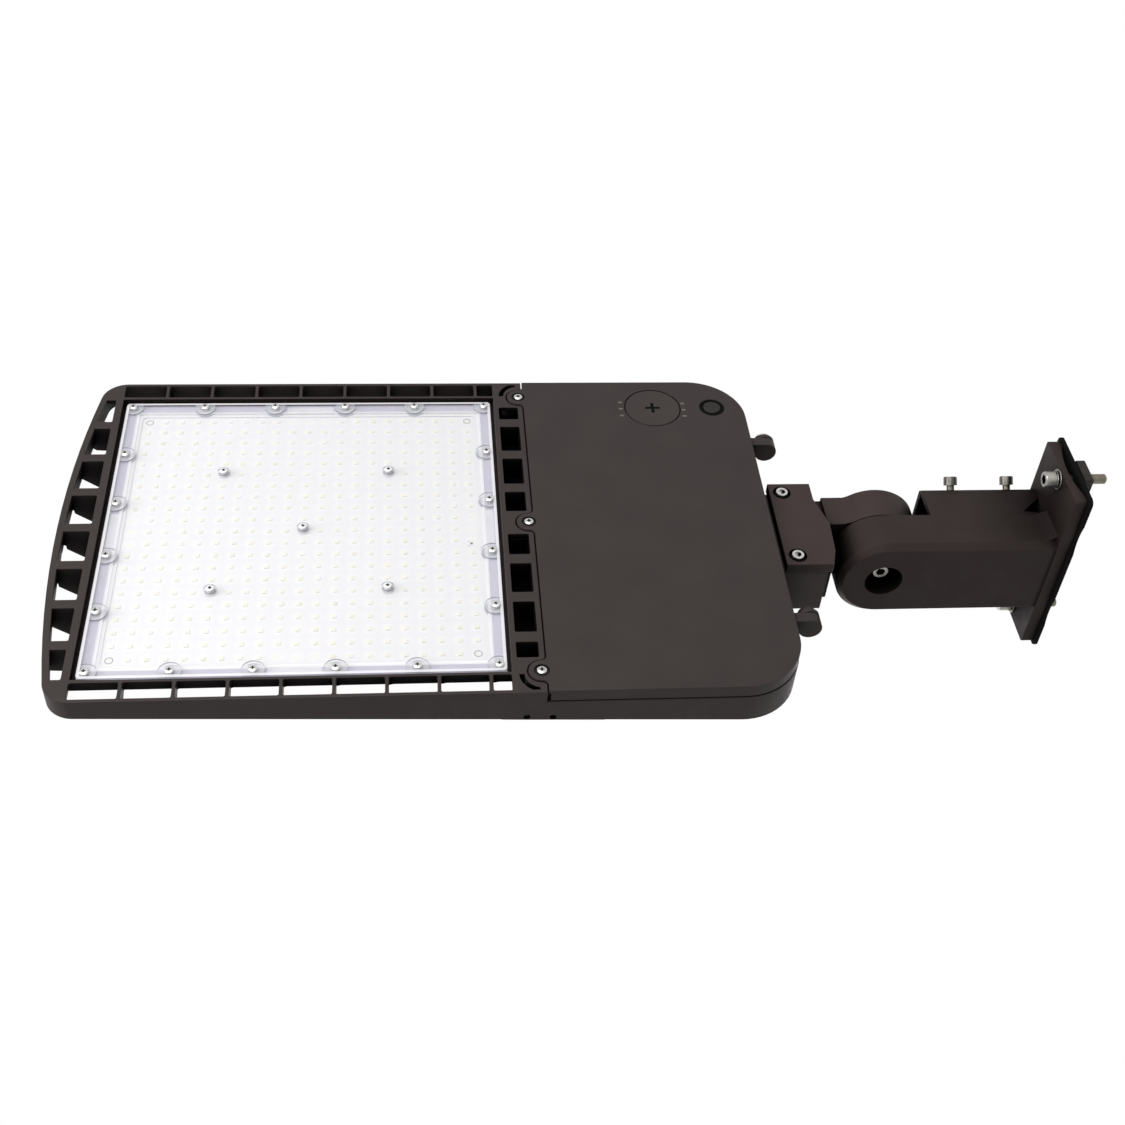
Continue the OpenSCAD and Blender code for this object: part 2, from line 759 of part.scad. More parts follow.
module board_screws() {
  reach = board_z - lens_z + board_screw_len - 1.5;
  color(steel) for (p = board_screw_places) translate([lens_cx + p[0], p[1], lens_z]) {
    translate([0, 0, -m4_head_h]) cylinder(r = m4_head_r, h = m4_head_h);
    translate([0, 0, -eps]) cylinder(r = m4_r, h = reach + eps);
  }
}

// True where the LED array has an LED: not at corners, side middles or screws
function has_led(i, j) =
  let (a = abs(i - led_mid), b = abs(j - led_mid))
  !(a == led_mid && b == led_mid) && !(a == led_mid && b <= 1) && !(b == led_mid && a <= 1)
  && !(a == 0 && b == 0) && !(a == board_screw_step && b == board_screw_step);

module led_board() {
  color(white) translate([lens_cx, 0, board_z - board_t]) difference() {
    union() {
      linear_extrude(board_t) pocket_outline(1.5);
      for (i = [0:led_count - 1]) for (j = [0:led_count - 1]) if (has_led(i, j))
        translate([(i - led_mid) * led_pitch - led_size[0] / 2,
          (j - led_mid) * led_pitch - led_size[1] / 2, -led_size[2]])
          cube([led_size[0], led_size[1], led_size[2] + 0.2]);
    }
    for (p = board_screw_places) translate([p[0], p[1], -1]) cylinder(r = m4_r + 0.3, h = 5);
    translate([-frame_half + 12 - feed_r, feed_y, -1]) cylinder(r = feed_r - 0.5, h = 5);
  }
}

// Pole side
module arm_outline(inset) {
  c = arm_chamfer - inset * 0.6;
  y = arm_w / 2 - inset;
  z = arm_h / 2 - inset;
  translate([0, knuckle_z]) polygon([[-y, -z + c], [-y + c, -z], [y - c, -z], [y, -z + c],
    [y, z - c], [y - c, z], [-y + c, z], [-y, z - c]]);
}

// Puts a child on the far lower chamfer of the arm, with +Z pointing out of it
module on_chamfer() {
  for (x = arm_screw_x) translate([x, (arm_w - arm_chamfer) / 2, arm_low_z + arm_chamfer / 2])
    rotate([-135, 0, 0]) children();
}

module pole_arm() {
  pole_r = (pow(plate_w / 2 - plate_land, 2) + pow(plate_hollow, 2)) / (2 * plate_hollow);
  near_y = -arm_w / 2;
  color(bronze_light) difference() {
    union() {
      rotate([90, 0, 90]) translate([0, 0, plate_x0]) linear_extrude(plate_t)
        round_rect([-plate_w / 2, -plate_h / 2], [plate_w / 2, plate_h / 2], plate_corner_r);
      difference() {
        rotate([90, 0, 90]) translate([0, 0, plate_x1 - eps])
          linear_extrude(tube_end - plate_x1 + eps) arm_outline(0);
        rotate([90, 0, 90]) translate([0, 0, plate_x1])
          linear_extrude(tube_end - arm_wall - plate_x1) arm_outline(arm_wall);
        span_box([tube_end - arm_wall - eps, cheek_y, knuckle_z - arm_h / 2 + arm_wall],
          [tube_end + eps, arm_w / 2 - arm_wall, knuckle_z + arm_h / 2 - arm_wall]);
      }
      intersection() {
        rotate([90, 0, 90]) translate([0, 0, tube_end - eps])
          linear_extrude(knuckle_x - tube_end + eps) arm_outline(0);
        span_box([0, near_y, -far_out], [far_out, cheek_y, far_out]);
      }
      translate([knuckle_x, near_y, knuckle_z]) rotate([-90, 0, 0]) {
        cylinder(r1 = knuckle_r - arm_chamfer, r2 = knuckle_r, h = arm_chamfer);
        translate([0, 0, arm_chamfer]) cylinder(r = knuckle_r, h = cheek_y - near_y - arm_chamfer);
      }
      on_chamfer() translate([0, 0, -arm_screw_boss]) cylinder(r = 2 * m6_r, h = 10);
      translate([plate_x1, 0, arm_low_z]) rotate([90, 0, 0])
        linear_extrude(arm_w / 2 - arm_chamfer) polygon([[-eps, eps], [arm_gusset[0], eps],
          [arm_gusset[0], 0], [0, -arm_gusset[1]], [-eps, -arm_gusset[1]]]);
    }
    translate([plate_x1, 0, arm_low_z - 1]) linear_extrude(arm_wall + 2) polygon(drain_at);
    difference() {
      translate([plate_x0 - pole_r + plate_hollow, 0, -plate_h])
        cylinder(r = pole_r, h = 2 * plate_h);
      rod_x([plate_x0 + 2, 0, 0], cable_hole_r + 3.5, plate_t);
    }
    rod_x([-1, 0, 0], cable_hole_r, plate_x1 + 2);
    for (s = [-1, 1]) rod_x([-1, 0, s * bolt_pitch / 2], m8_hole_r, plate_x1 + 2);
    rod_y([knuckle_x, near_y - 1, knuckle_z], counterbore_r, counterbore_d + 1);
    rod_y([knuckle_x, near_y, knuckle_z], m8_r + running, arm_w);
    on_chamfer() translate([0, 0, -arm_screw_boss - 1])
      cylinder(r = m6_r + screw_fit, h = arm_screw_boss + 2);
  }
}

// Clamp screws in the arm's far lower corner
module arm_screws() {
  color(steel) on_chamfer() difference() {
    union() {
      translate([0, 0, arm_screw_neck]) cylinder(r = m6_head_r, h = arm_screw_head_h);
      translate([0, 0, 2 - arm_screw_boss])
        cylinder(r = m6_r, h = arm_screw_boss - 2 + arm_screw_neck + eps);
    }
    translate([0, 0, arm_screw_neck + arm_screw_head_h - 3]) cylinder(r = 2.9, h = 4, $fn = 6);
  }
}

// Gasket outline: a little larger than the plate, with shallow waves on its long sides
module pole_gasket() {
  w = plate_w / 2 + gasket_over;
  h = plate_h / 2 + gasket_over - 1;
  wave_r = 60;
  wave_depth = 1.8;
  color(rubber_grey) difference() {
    rotate([90, 0, 90]) linear_extrude(gasket_t) difference() {
      round_rect([-w, -h], [w, h], plate_corner_r + 2);
      for (s = [-1, 1]) for (z = [-0.5, 0.5]) translate([s * (w + wave_r - wave_depth), z * h])
        circle(wave_r);
    }
    rod_x([-1, 0, 0], cable_hole_r, gasket_t + 2);
    for (s = [-1, 1]) rod_x([-1, 0, s * bolt_pitch / 2], m8_hole_r, gasket_t + 2);
  }
}

module pole_bolts() {
  head_x = plate_x1 + flat_washer[1] + spring_washer[1];
  block_x = nut_block_gap + nut_block[0];
  color(steel) for (s = [-1, 1]) translate([0, 0, s * bolt_pitch / 2]) difference() {
    union() {
      rod_x([head_x, 0, 0], m8_head_r, m8_head_h);
      rod_x([-nut_block_gap, 0, 0], m8_shank_r, head_x + nut_block_gap + eps);
      rod_x([-block_x - eps, 0, 0], m8_engaged_r, nut_block[0] + 2 * eps);
      rod_x([-bolt_tail, 0, 0], m8_r, bolt_tail - block_x);
    }
    rod_x([head_x + m8_head_h - 4, 0, 0], 3.4, 5, $fn = 6);
  }
}

module pole_washers(x, washer) {
  color(steel) for (s = [-1, 1]) translate([x, 0, s * bolt_pitch / 2]) difference() {
    rod_x([0, 0, 0], washer[0], washer[1]);
    rod_x([-1, 0, 0], m8_r + 0.2, washer[1] + 2);
  }
}

module pole_flat_washers() pole_washers(plate_x1, flat_washer);
module pole_spring_washers() pole_washers(plate_x1 + flat_washer[1], spring_washer);

// Backing blocks that sit inside the pole, threaded on the bolts
module pole_nuts() {
  color([0.36, 0.27, 0.17]) for (s = [-1, 1]) translate([0, 0, s * bolt_pitch / 2])
    difference() {
      rotate([90, 0, 90]) translate([0, 0, -nut_block[0] - nut_block_gap])
        linear_extrude(nut_block[0])
        round_rect([-nut_block[1] / 2, -nut_block[2] / 2], [nut_block[1] / 2, nut_block[2] / 2], 2);
      rod_x([-nut_block[0] - nut_block_gap - 1, 0, 0], m8_engaged_r + fit, nut_block[0] + 2);
    }
}

// Corners between the knuckle and the neck, hollowed by two arcs
module neck_blend() {
  x0 = blend_dx * blend_share - 2;
  z = blend_dz * blend_share;
  difference() {
    translate([x0, -z]) square([blend_dx - x0, 2 * z]);
    for (k = [-1, 1]) translate([blend_dx, k * blend_dz]) circle(blend_r);
  }
}

// Neck bracket: ear, neck, web and flange in one casting
module neck_bracket() {
  ear_y0 = cheek_y + joint_gap;
  ear_y1 = arm_w / 2 - joint_gap;
  screw_x = web_x1 + lug_len / 2 + 4.5;
  flange_y = lug_half_w + 2;
  color(bronze_light) difference() {
    union() {
      translate([knuckle_x, ear_y0, knuckle_z]) rotate([-90, 0, 0]) {
        cylinder(r = knuckle_r, h = ear_y1 - ear_y0 - 3);
        translate([0, 0, ear_y1 - ear_y0 - 3]) cylinder(r1 = knuckle_r, r2 = knuckle_r - 3, h = 3);
      }
      span_box([knuckle_x, ear_y0, knuckle_z - neck_half_h],
        [web_x0 + eps, ear_y1 - 1.5, knuckle_z + neck_half_h]);
      translate([knuckle_x, ear_y1 - 3, knuckle_z]) rotate([90, 0, 0])
        linear_extrude(ear_y1 - ear_y0 - 3) neck_blend();
      rotate([90, 0, 90]) translate([0, 0, web_x0]) linear_extrude(web_t)
        round_rect([-30, flange_z1 - 2], [ear_y1, flange_z1 + lug_h + 3], 4);
      translate([0, 0, flange_z0]) linear_extrude(flange_t) polygon([
        [bay_x0 - 5, -flange_y], [bay_x0 - 5, flange_y], [web_x1, flange_y],
        [web_x1, 0.6 * flange_y], [web_x0, 0], [web_x0 + 1.5, -0.66 * flange_y],
        [web_x1 - 2.5, -flange_y]]);
    }
    for (s = [-1, 1]) translate([screw_x, s * bracket_screw_y, flange_z0 - 1]) {
      cylinder(r = 7, h = 5);
      cylinder(r = m6_r + 0.3, h = flange_t + 2);
    }
    rod_y([knuckle_x, ear_y0 - 1, knuckle_z], m8_r + running, ear_y1);
    nut_pocket(ear_y1 - m8_nut_h - 1, 0.2, m8_nut_h + 2);
    rod_x([knuckle_x - knuckle_r - 1, way_y, way_z], way_r, web_x1 - knuckle_x + knuckle_r + 2);
  }
}

// Hexagon about the knuckle axis, from y, grown by g
module nut_pocket(y, g, h) {
  translate([knuckle_x, y, knuckle_z]) rotate([-90, 0, 0])
    cylinder(r = (m8_nut_flat / 2 + g) / cos(30), h = h, $fn = 6);
}

module bracket_screws() {
  color(steel) for (s = [-1, 1])
    translate([web_x1 + lug_len / 2 + 4.5, s * bracket_screw_y, flange_z0 + 4]) difference() {
      union() {
        translate([0, 0, -m6_head_h + 1]) cylinder(r = m6_head_r, h = m6_head_h - 1);
        translate([0, 0, -eps]) cylinder(r = m6_r, h = flange_t - 4 + 16 + eps);
      }
      translate([0, 0, -m6_head_h]) cylinder(r = 2.9, h = 4, $fn = 6);
    }
}

// Knuckle bolt from the near cheek to the nut held in the ear
module knuckle_bolt() {
  seat_y = knuckle_seat_y - flat_washer[1];
  color(steel) difference() {
    union() {
      rod_y([knuckle_x, seat_y - m8_head_h, knuckle_z], m8_head_r, m8_head_h);
      rod_y([knuckle_x, seat_y - eps, knuckle_z], m8_r, arm_w / 2 - 1 - seat_y + eps);
    }
    translate([knuckle_x, seat_y - m8_head_h - 1, knuckle_z]) rotate([-90, 0, 0])
      cylinder(r = 3.4, h = 5, $fn = 6);
  }
}

module knuckle_washer() {
  color(steel) difference() {
    rod_y([knuckle_x, knuckle_seat_y - flat_washer[1], knuckle_z], flat_washer[0],
      flat_washer[1]);
    rod_y([knuckle_x, -arm_w / 2, knuckle_z], m8_r + 0.2, arm_w);
  }
}

module knuckle_nut() {
  color(steel) difference() {
    nut_pocket(arm_w / 2 - joint_gap - m8_nut_h - 1, 0, m8_nut_h);
    rod_y([knuckle_x, 0, knuckle_z], m8_r + fit, arm_w);
  }
}

// Headed pins, pushed through the lugs and blind in the tongues
module hinge_pins() {
  y0 = hinge_end + joint_gap - hinge_seg;
  y1 = hinge_split / 2 + hinge_lug_t;
  color(steel) for (s = [-1, 1]) translate([hinge_x, s * hinge_y, hinge_z]) {
    rod_y([0, y0, 0], hinge_pin_r, y1 - y0 + eps);
    rod_y([0, y1, 0], hinge_head[0], hinge_head[1]);
  }
}

module driver() {
  top = ceiling_z;
  low = top - driver_size[2];
  color(black) difference() {
    union() {
      translate([0, 0, low]) linear_extrude(driver_size[2])
        round_rect([driver_x, -driver_size[1] / 2],
          [driver_x + driver_size[0], driver_size[1] / 2], 3);
      translate([0, 0, top - driver_tab[2]]) linear_extrude(driver_tab[2])
        round_rect([driver_x + (driver_size[0] - driver_tab[0]) / 2,
          -driver_size[1] / 2 - driver_tab[1]],
          [driver_x + (driver_size[0] + driver_tab[0]) / 2,
          driver_size[1] / 2 + driver_tab[1]], 3);
    }
    for (s = [-1, 1]) translate([driver_x + driver_size[0] / 2, s * driver_hole_y, top - 5])
      cylinder(r = m4_r + 0.3, h = 6);
  }
}

module driver_screws() {
  color(steel) for (s = [-1, 1])
    translate([driver_x + driver_size[0] / 2, s * driver_hole_y, ceiling_z - driver_tab[2]]) {
      translate([0, 0, -m4_head_h]) cylinder(r = m4_head_r, h = m4_head_h);
      translate([0, 0, -eps]) cylinder(r = m4_r, h = 6 + eps);
    }
}

module surge_protector() {
  color(black) translate([0, 0, ceiling_z - surge_size[2]]) linear_extrude(surge_size[2])
    round_rect([parts_x, surge_y - surge_size[1] / 2],
      [parts_x + surge_size[0], surge_y + surge_size[1] / 2], 4);
}

module terminal_block() {
  bays = 3;
  pitch = terminal_size[1] / bays;
  low = ceiling_z - terminal_size[2];
  color(white) difference() {
    span_box([parts_x, terminal_y - terminal_size[1] / 2, low],
      [parts_x + terminal_size[0], terminal_y + terminal_size[1] / 2, ceiling_z]);
    for (k = [0:bays - 1]) translate([parts_x + terminal_size[0] / 2,
      terminal_y - terminal_size[1] / 2 + (k + 0.5) * pitch, low - 1])
      cylinder(r = 3.5, h = 9);
  }
}

// Power selector below the cap: a small box with a slotted knob
module selector_switch() {
  z1 = switch_seat_z;
  z0 = z1 - switch_size[2];
  color([0.12, 0.2, 0.45]) translate([cap_place[0], cap_place[1], 0]) difference() {
    union() {
      span_box([-switch_size[0] / 2, -switch_size[1] / 2, z0],
        [switch_size[0] / 2, switch_size[1] / 2, z1]);
      translate([0, 0, z0 - 3]) cylinder(r = 7, h = 3 + eps);
    }
    span_box([-5, -0.8, z0 - 4], [5, 0.8, z0 - 1.5]);
  }
}

module cable_grommet() {
  flange_r = grommet_r + 0.7;
  color(rubber_grey) difference() {
    union() {
      rod_x([web_x1, way_y, way_z], grommet_r, lug_wall + eps);
      rod_x([web_x1 + lug_wall, way_y, way_z], flange_r, 2);
    }
    rod_x([web_x1 - 1, way_y, way_z], grommet_bore_r, 12);
  }
}

// Point on a cubic curve with four control points
function curve(p, t) = pow(1 - t, 3) * p[0] + 3 * pow(1 - t, 2) * t * p[1]
  + 3 * (1 - t) * t * t * p[2] + t * t * t * p[3];

// Eight-sided wire along a cubic curve; up is any direction that the wire never follows
module wire(p, r, up) {
  sides = 8;
  steps = 14;
  path = [for (i = [0:steps]) curve(p, i / steps)];
  rings = [for (i = [0:steps]) let (
    d = path[min(i + 1, steps)] - path[max(i - 1, 0)],
    t = d / norm(d),
    c = cross(t, up),
    s = c / norm(c),
    u = cross(s, t)
  ) each [for (k = [0:sides - 1]) path[i] + r * (cos(360 * k / sides) * s
    + sin(360 * k / sides) * u)]];
  skin = [for (i = [0:steps - 1]) for (k = [0:sides - 1]) let (
    a = i * sides + k,
    b = i * sides + (k + 1) % sides
  ) each [[a, b, b + sides], [a, b + sides, a + sides]]];
  polyhedron(rings, concat([[for (k = [sides - 1:-1:0]) k]], skin,
    [[for (k = [0:sides - 1]) steps * sides + k]]));
}

module internal_wires() {
  wire_r = 1.3;
  // Steps between the clamps, from the clamps to the driver's leads, and of the bends
  step = 14;
  lead = 20;
  bend = 25;
  low_z = ceiling_z - terminal_size[2] + 6;
  mid_z = ceiling_z - driver_size[2] + 8;
  term_x = parts_x + terminal_size[0];
  surge_x = parts_x + surge_size[0];
  driver_x1 = driver_x + driver_size[0];
  feed_x = lens_cx - frame_half + 12 - feed_r;
  up = [0, 0, 1];
  for (k = [0, 1]) color(k == 0 ? white : [0.75, 0.1, 0.08]) wire([
    [term_x, terminal_y + k * step, low_z], [term_x + bend, terminal_y + k * step, low_z],
    [driver_x - bend, terminal_y + k * step + lead, mid_z],
    [driver_x, terminal_y + k * step + lead, mid_z]], wire_r, up);
  color([0.1, 0.35, 0.14]) wire([[term_x, terminal_y - step, low_z],
    [surge_x + 2 * lead, terminal_y - step, low_z], [surge_x + 2 * lead, surge_y, low_z],
    [surge_x, surge_y, low_z]], wire_r, up);
  color([0.1, 0.1, 0.1]) {
    wire([[driver_x1, feed_y, mid_z], [bay_in_x1 - 4, feed_y, mid_z],
      [bay_in_x1 - 8, feed_y, feed_z], [bay_in_x1 + 2, feed_y, feed_z]], wire_r, [0, 1, 0]);
    wire([[bay_in_x1 + 2, feed_y, feed_z], [feed_x, feed_y, feed_z],
      [feed_x, feed_y, feed_z], [feed_x, feed_y, board_z]], wire_r, [0, 1, 0]);
  }
}

// Driver door with skirt, tabs, tongues and the cap's bayonet ledge
module driver_door() {
  ring_h = 7;
  stiffener_pitch = 55;
  color(bronze) difference() {
    union() {
      translate([0, 0, door_z]) linear_extrude(door_t) door_plan(0);
      translate([0, 0, door_z + door_t - eps]) linear_extrude(skirt_h - door_t + eps)
        intersection() {
          difference() {
            plan(0.5);
            plan(0.5 + skirt_t);
          }
          translate([0, -half_w]) square([door_x1 - 1.5, 2 * half_w]);
        }
      for (y = tab_places) translate([tab_x, y, door_z])
        cylinder(r = 6.5, h = gasket_seat_z - door_z - 0.3);
      for (y = [-hinge_y - hinge_seg, hinge_y - hinge_seg]) hinge_tongue(y);
      translate([cap_place[0], cap_place[1], door_z]) cylinder(r = cap_r + 3, h = ring_h);
      translate([plug_place[0], plug_place[1], door_z]) cylinder(r = plug_r + 2.5, h = 5);
      for (k = [-2:1]) span_box([bay_x0 + 14, k * stiffener_pitch - 1, door_z + door_t - eps],
        [ledge_in_x - 4, k * stiffener_pitch + 1, door_z + door_t + 3]);
    }
    for (y = tab_places) translate([tab_x, y, door_z - 1]) {
      cylinder(r = tab_counter_r, h = tab_counter_d + 1);
      cylinder(r = m4_r + 0.4, h = 20);
    }
    translate([cap_place[0], cap_place[1], door_z - 1]) {
      cylinder(r = cap_r + 0.5, h = cap_flange + 1.3);
      cylinder(r = cap_stem_r + 0.3, h = 20);
      for (a = [0, 180]) rotate(a) span_box([0, -cap_lug_w / 2 - 1, 0],
        [cap_lug_r + 0.5, cap_lug_w / 2 + 1, 20]);
    }
    translate([plug_place[0], plug_place[1], door_z - 1]) {
      cylinder(r = plug_r - 1.4, h = 20);
      cylinder(r = plug_r + 0.3, h = 1 + 1.2);
    }
    for (y = [-hinge_y, hinge_y])
      rod_y([hinge_x, y - hinge_seg + hinge_end, hinge_z], hinge_pin_r + fit, hinge_seg);
  }
}

module hinge_tongue(y) {
  rod_y([hinge_x, y, hinge_z], hinge_r, hinge_seg - hinge_split / 2);
  span_box([hinge_x, y, hinge_z - hinge_r], [bay_x0 + 0.5 + skirt_t, y + hinge_seg - hinge_split / 2,
    hinge_z - 2]);
}

// Sponge seal between the door and the bay's lip
module door_gasket() {
  color(rubber_grey) translate([0, 0, door_z + door_t])
    linear_extrude(gasket_seat_z - door_z - door_t) difference() {
      intersection() {
        plan(lip_out);
        translate([0, -half_w]) square([ledge_in_x + 3.5, 2 * half_w]);
      }
      intersection() {
        plan(lip_in);
        translate([0, -half_w]) square([ledge_in_x + 0.2, 2 * half_w]);
      }
    }
}

module door_screws() {
  color(steel) for (y = tab_places) translate([tab_x, y, door_z + tab_counter_d]) {
    translate([0, 0, -m4_head_h]) cylinder(r = m4_head_r, h = m4_head_h);
    translate([0, 0, -eps]) cylinder(r = m4_r, h = door_screw_tip + eps);
  }
}

module port_plug() {
  color(black) translate([plug_place[0], plug_place[1], door_z]) {
    cylinder(r = plug_r, h = 1.2);
    translate([0, 0, 1.2 - eps]) cylinder(r = plug_r - 1.4 - fit, h = 4 + eps);
    translate([0, 0, 5.05]) cylinder(r = plug_r - 0.6, h = 1.5);
    translate([0, 0, -0.6]) cylinder(r = plug_r * 0.45, h = 0.6 + eps);
  }
}

// Selector cap: a flat cap with a cross grip, held by two bayonet lugs
module selector_cap() {
  grip = 12;
  grip_w = 2.2;
  color(bronze) translate([cap_place[0], cap_place[1], door_z]) difference() {
    union() {
      cylinder(r = cap_r, h = cap_flange);
      cylinder(r = cap_stem_r, h = cap_ledge_h + 2);
      intersection() {
        translate([0, 0, cap_ledge_h + 0.3]) cylinder(r = cap_lug_r, h = 1.7);
        span_box([-cap_lug_w / 2, -cap_lug_r, 0], [cap_lug_w / 2, cap_lug_r, 20]);
      }
    }
    translate([0, 0, cap_flange]) cylinder(r = cap_stem_r - 2.2, h = 20);
    rotate_extrude() translate([cap_stem_r - 0.75, seal_z - 0.55]) square([2, 1.1]);
    for (a = [0, 90]) rotate(a) span_box([-grip / 2, -grip_w / 2, -1], [grip / 2, grip_w / 2, 1.2]);
  }
}

module cap_seal() {
  color(rubber_grey) translate([cap_place[0], cap_place[1], door_z + seal_z])
    rotate_extrude() translate([cap_stem_r - 0.2, 0]) circle(0.45, $fn = 24);
}

pole_arm();
pole_gasket();
pole_bolts();
pole_spring_washers();
pole_flat_washers();
pole_nuts();
arm_screws();
neck_bracket();
bracket_screws();
knuckle_bolt();
knuckle_washer();
knuckle_nut();
housing();
led_board();
lens();
lens_gasket();
lens_screws();
board_screws();
hinge_pins();
driver();
driver_screws();
surge_protector();
terminal_block();
selector_switch();
cable_grommet();
internal_wires();
driver_door();
door_gasket();
door_screws();
port_plug();
selector_cap();
cap_seal();
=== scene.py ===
# %% [markdown]
# # A street light, dressed for its portrait
#
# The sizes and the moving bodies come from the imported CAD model, which this script
# loads as a fixed frame. On top of it come the softened cast edges, the detailed screw
# heads, the clear lens, the LEDs and the finishes.

import math

import bmesh
import bpy
from mathutils import Matrix, Vector
from mathutils.bvhtree import BVHTree


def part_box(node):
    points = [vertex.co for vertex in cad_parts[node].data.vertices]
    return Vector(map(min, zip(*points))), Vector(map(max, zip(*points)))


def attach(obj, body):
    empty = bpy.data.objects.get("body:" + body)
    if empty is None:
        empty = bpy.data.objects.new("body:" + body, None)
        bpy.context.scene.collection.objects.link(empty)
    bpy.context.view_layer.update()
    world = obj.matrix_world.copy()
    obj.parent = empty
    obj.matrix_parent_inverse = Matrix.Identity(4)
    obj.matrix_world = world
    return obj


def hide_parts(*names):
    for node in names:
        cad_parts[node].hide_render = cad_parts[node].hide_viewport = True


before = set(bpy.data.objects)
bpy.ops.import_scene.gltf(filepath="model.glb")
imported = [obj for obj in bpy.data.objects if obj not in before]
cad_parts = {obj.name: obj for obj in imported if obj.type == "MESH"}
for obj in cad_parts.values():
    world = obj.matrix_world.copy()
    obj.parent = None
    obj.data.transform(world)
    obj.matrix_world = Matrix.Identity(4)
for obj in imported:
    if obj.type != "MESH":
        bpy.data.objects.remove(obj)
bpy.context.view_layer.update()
MM = 0.001

# %% [markdown]
# ## Where the camera stood
#
# The light was photographed from below and in front, with the pole plate to the right.
# The place and the turn were found from the right angles of the lens and the door, so
# they are written as one matrix: its columns are the camera's right, up and back.

# %% Camera
CAMERA_PLACE = Vector((0.51434, -0.87001, -0.85822))
RIGHT = Vector((-0.99556342, -0.07564132, -0.05596304))
UP = Vector((-0.0139928, 0.70717004, -0.70690504))
BACK = Vector((0.09304661, -0.70298572, -0.70509106))

lens_data = bpy.data.cameras.new("camera")
lens_data.sensor_width = 36
lens_data.lens = 49.47
camera = bpy.data.objects.new("camera", lens_data)
bpy.context.scene.collection.objects.link(camera)
turn = Matrix((RIGHT, UP, BACK)).transposed()
camera.matrix_world = Matrix.Translation(CAMERA_PLACE) @ turn.to_4x4()
bpy.context.scene.camera = camera
print("camera at", tuple(round(v, 3) for v in camera.location))

# %% [markdown]
# ## Finishes
#
# Every finish is a small network of nodes that reads Object coordinates, so that it
# stays on the piece when the piece moves. Most of them need the same three things: a
# colour that drifts a little, a roughness and a fine bump. One helper makes those, and
# the numbers say how the real surface differs.


# %% A helper for finishes
def noise(tree, scale, detail=3.0):
    """Noise on Object coordinates: scale is in grains per metre."""
    where = tree.nodes.new("ShaderNodeTexCoord")
    grain = tree.nodes.new("ShaderNodeTexNoise")
    grain.inputs["Scale"].default_value = scale
    grain.inputs["Detail"].default_value = detail
    tree.links.new(where.outputs["Object"], grain.inputs["Vector"])
    return grain.outputs["Fac"]


def reckon(tree, operation, socket, other):
    """A math node on a socket and on a number or another socket."""
    step = tree.nodes.new("ShaderNodeMath")
    step.operation = operation
    tree.links.new(socket, step.inputs[0])
    if isinstance(other, (int, float)):
        step.inputs[1].default_value = other
    else:
        tree.links.new(other, step.inputs[1])
    return step.outputs[0]


def ramp(tree, value, low, high, start=0.3, end=0.7):
    """Two colours or greys spread over a value."""
    stops = tree.nodes.new("ShaderNodeValToRGB")
    stops.color_ramp.elements[0].position = start
    stops.color_ramp.elements[1].position = end
    stops.color_ramp.elements[0].color = (*low, 1)
    stops.color_ramp.elements[1].color = (*high, 1)
    tree.links.new(value, stops.inputs["Fac"])
    return stops.outputs["Color"]


def shaded(tree, tint, shade):
    """A tint darkened in corners, and by how much: shade is (reach in millimetres, power,
    own), and own leaves the neighbouring pieces out."""
    reach, strength, own = shade
    open_sky = tree.nodes.new("ShaderNodeAmbientOcclusion")
    open_sky.samples = 8
    open_sky.only_local = own
    open_sky.inputs["Distance"].default_value = reach * MM
    share = reckon(tree, "POWER", open_sky.outputs["AO"], strength)
    product = tree.nodes.new("ShaderNodeMix")
    product.data_type = "RGBA"
    product.blend_type = "MULTIPLY"
    product.inputs["Factor"].default_value = 1
    tree.links.new(tint, product.inputs["A"])
    tree.links.new(share, product.inputs["B"])
    return product.outputs["Result"], share


def finish(name, colour, rough, drift=0.12, patch=18, grain=900, depth=0.02, shade=None,
           **sockets):
    """A painted, moulded or bare surface: drift is the share that its colour wanders,
    patch and grain are in spots per metre, and depth is the bump in millimetres. A shade
    takes colour and gloss out of corners and pockets."""
    made = bpy.data.materials.new(name)
    made.use_nodes = True
    tree = made.node_tree
    skin = tree.nodes["Principled BSDF"]
    low = [c * (1 - drift) for c in colour]
    high = [min(1, c * (1 + drift)) for c in colour]
    tint = ramp(tree, noise(tree, patch), low, high)
    if shade:
        tint, share = shaded(tree, tint, shade)
        gloss = reckon(tree, "MULTIPLY", share, sockets.pop("Specular_IOR_Level", 0.5))
        tree.links.new(gloss, skin.inputs["Specular IOR Level"])
    tree.links.new(tint, skin.inputs["Base Color"])
    spread = ramp(tree, noise(tree, patch * 3), [rough * 0.9] * 3, [min(1, rough * 1.1)] * 3)
    tree.links.new(spread, skin.inputs["Roughness"])
    if depth:
        bump = tree.nodes.new("ShaderNodeBump")
        bump.inputs["Distance"].default_value = depth * MM
        tree.links.new(noise(tree, grain, 2.0), bump.inputs["Height"])
        tree.links.new(bump.outputs["Normal"], skin.inputs["Normal"])
    for socket, value in sockets.items():
        skin.inputs[socket.replace("_", " ")].default_value = value
    return made


# %% [markdown]
# The castings have a dark bronze powder coat: matte, with a fine orange-peel grain of
# about a millimetre. Its gloss is low, so the specular level is turned down from the
# usual 0.5. In the photograph the arm and the bracket are redder than the head.
#
# Three finishes stand in for light, not for a real surface. The shade darkens corners
# and gaps as deeply as the photograph shows them. The coat beside the lens is about
# twice as light as the head's, because the lamps leave that wall too dark. The middle
# screws are steel that the photograph shows overlit, and a pale finish copies that.

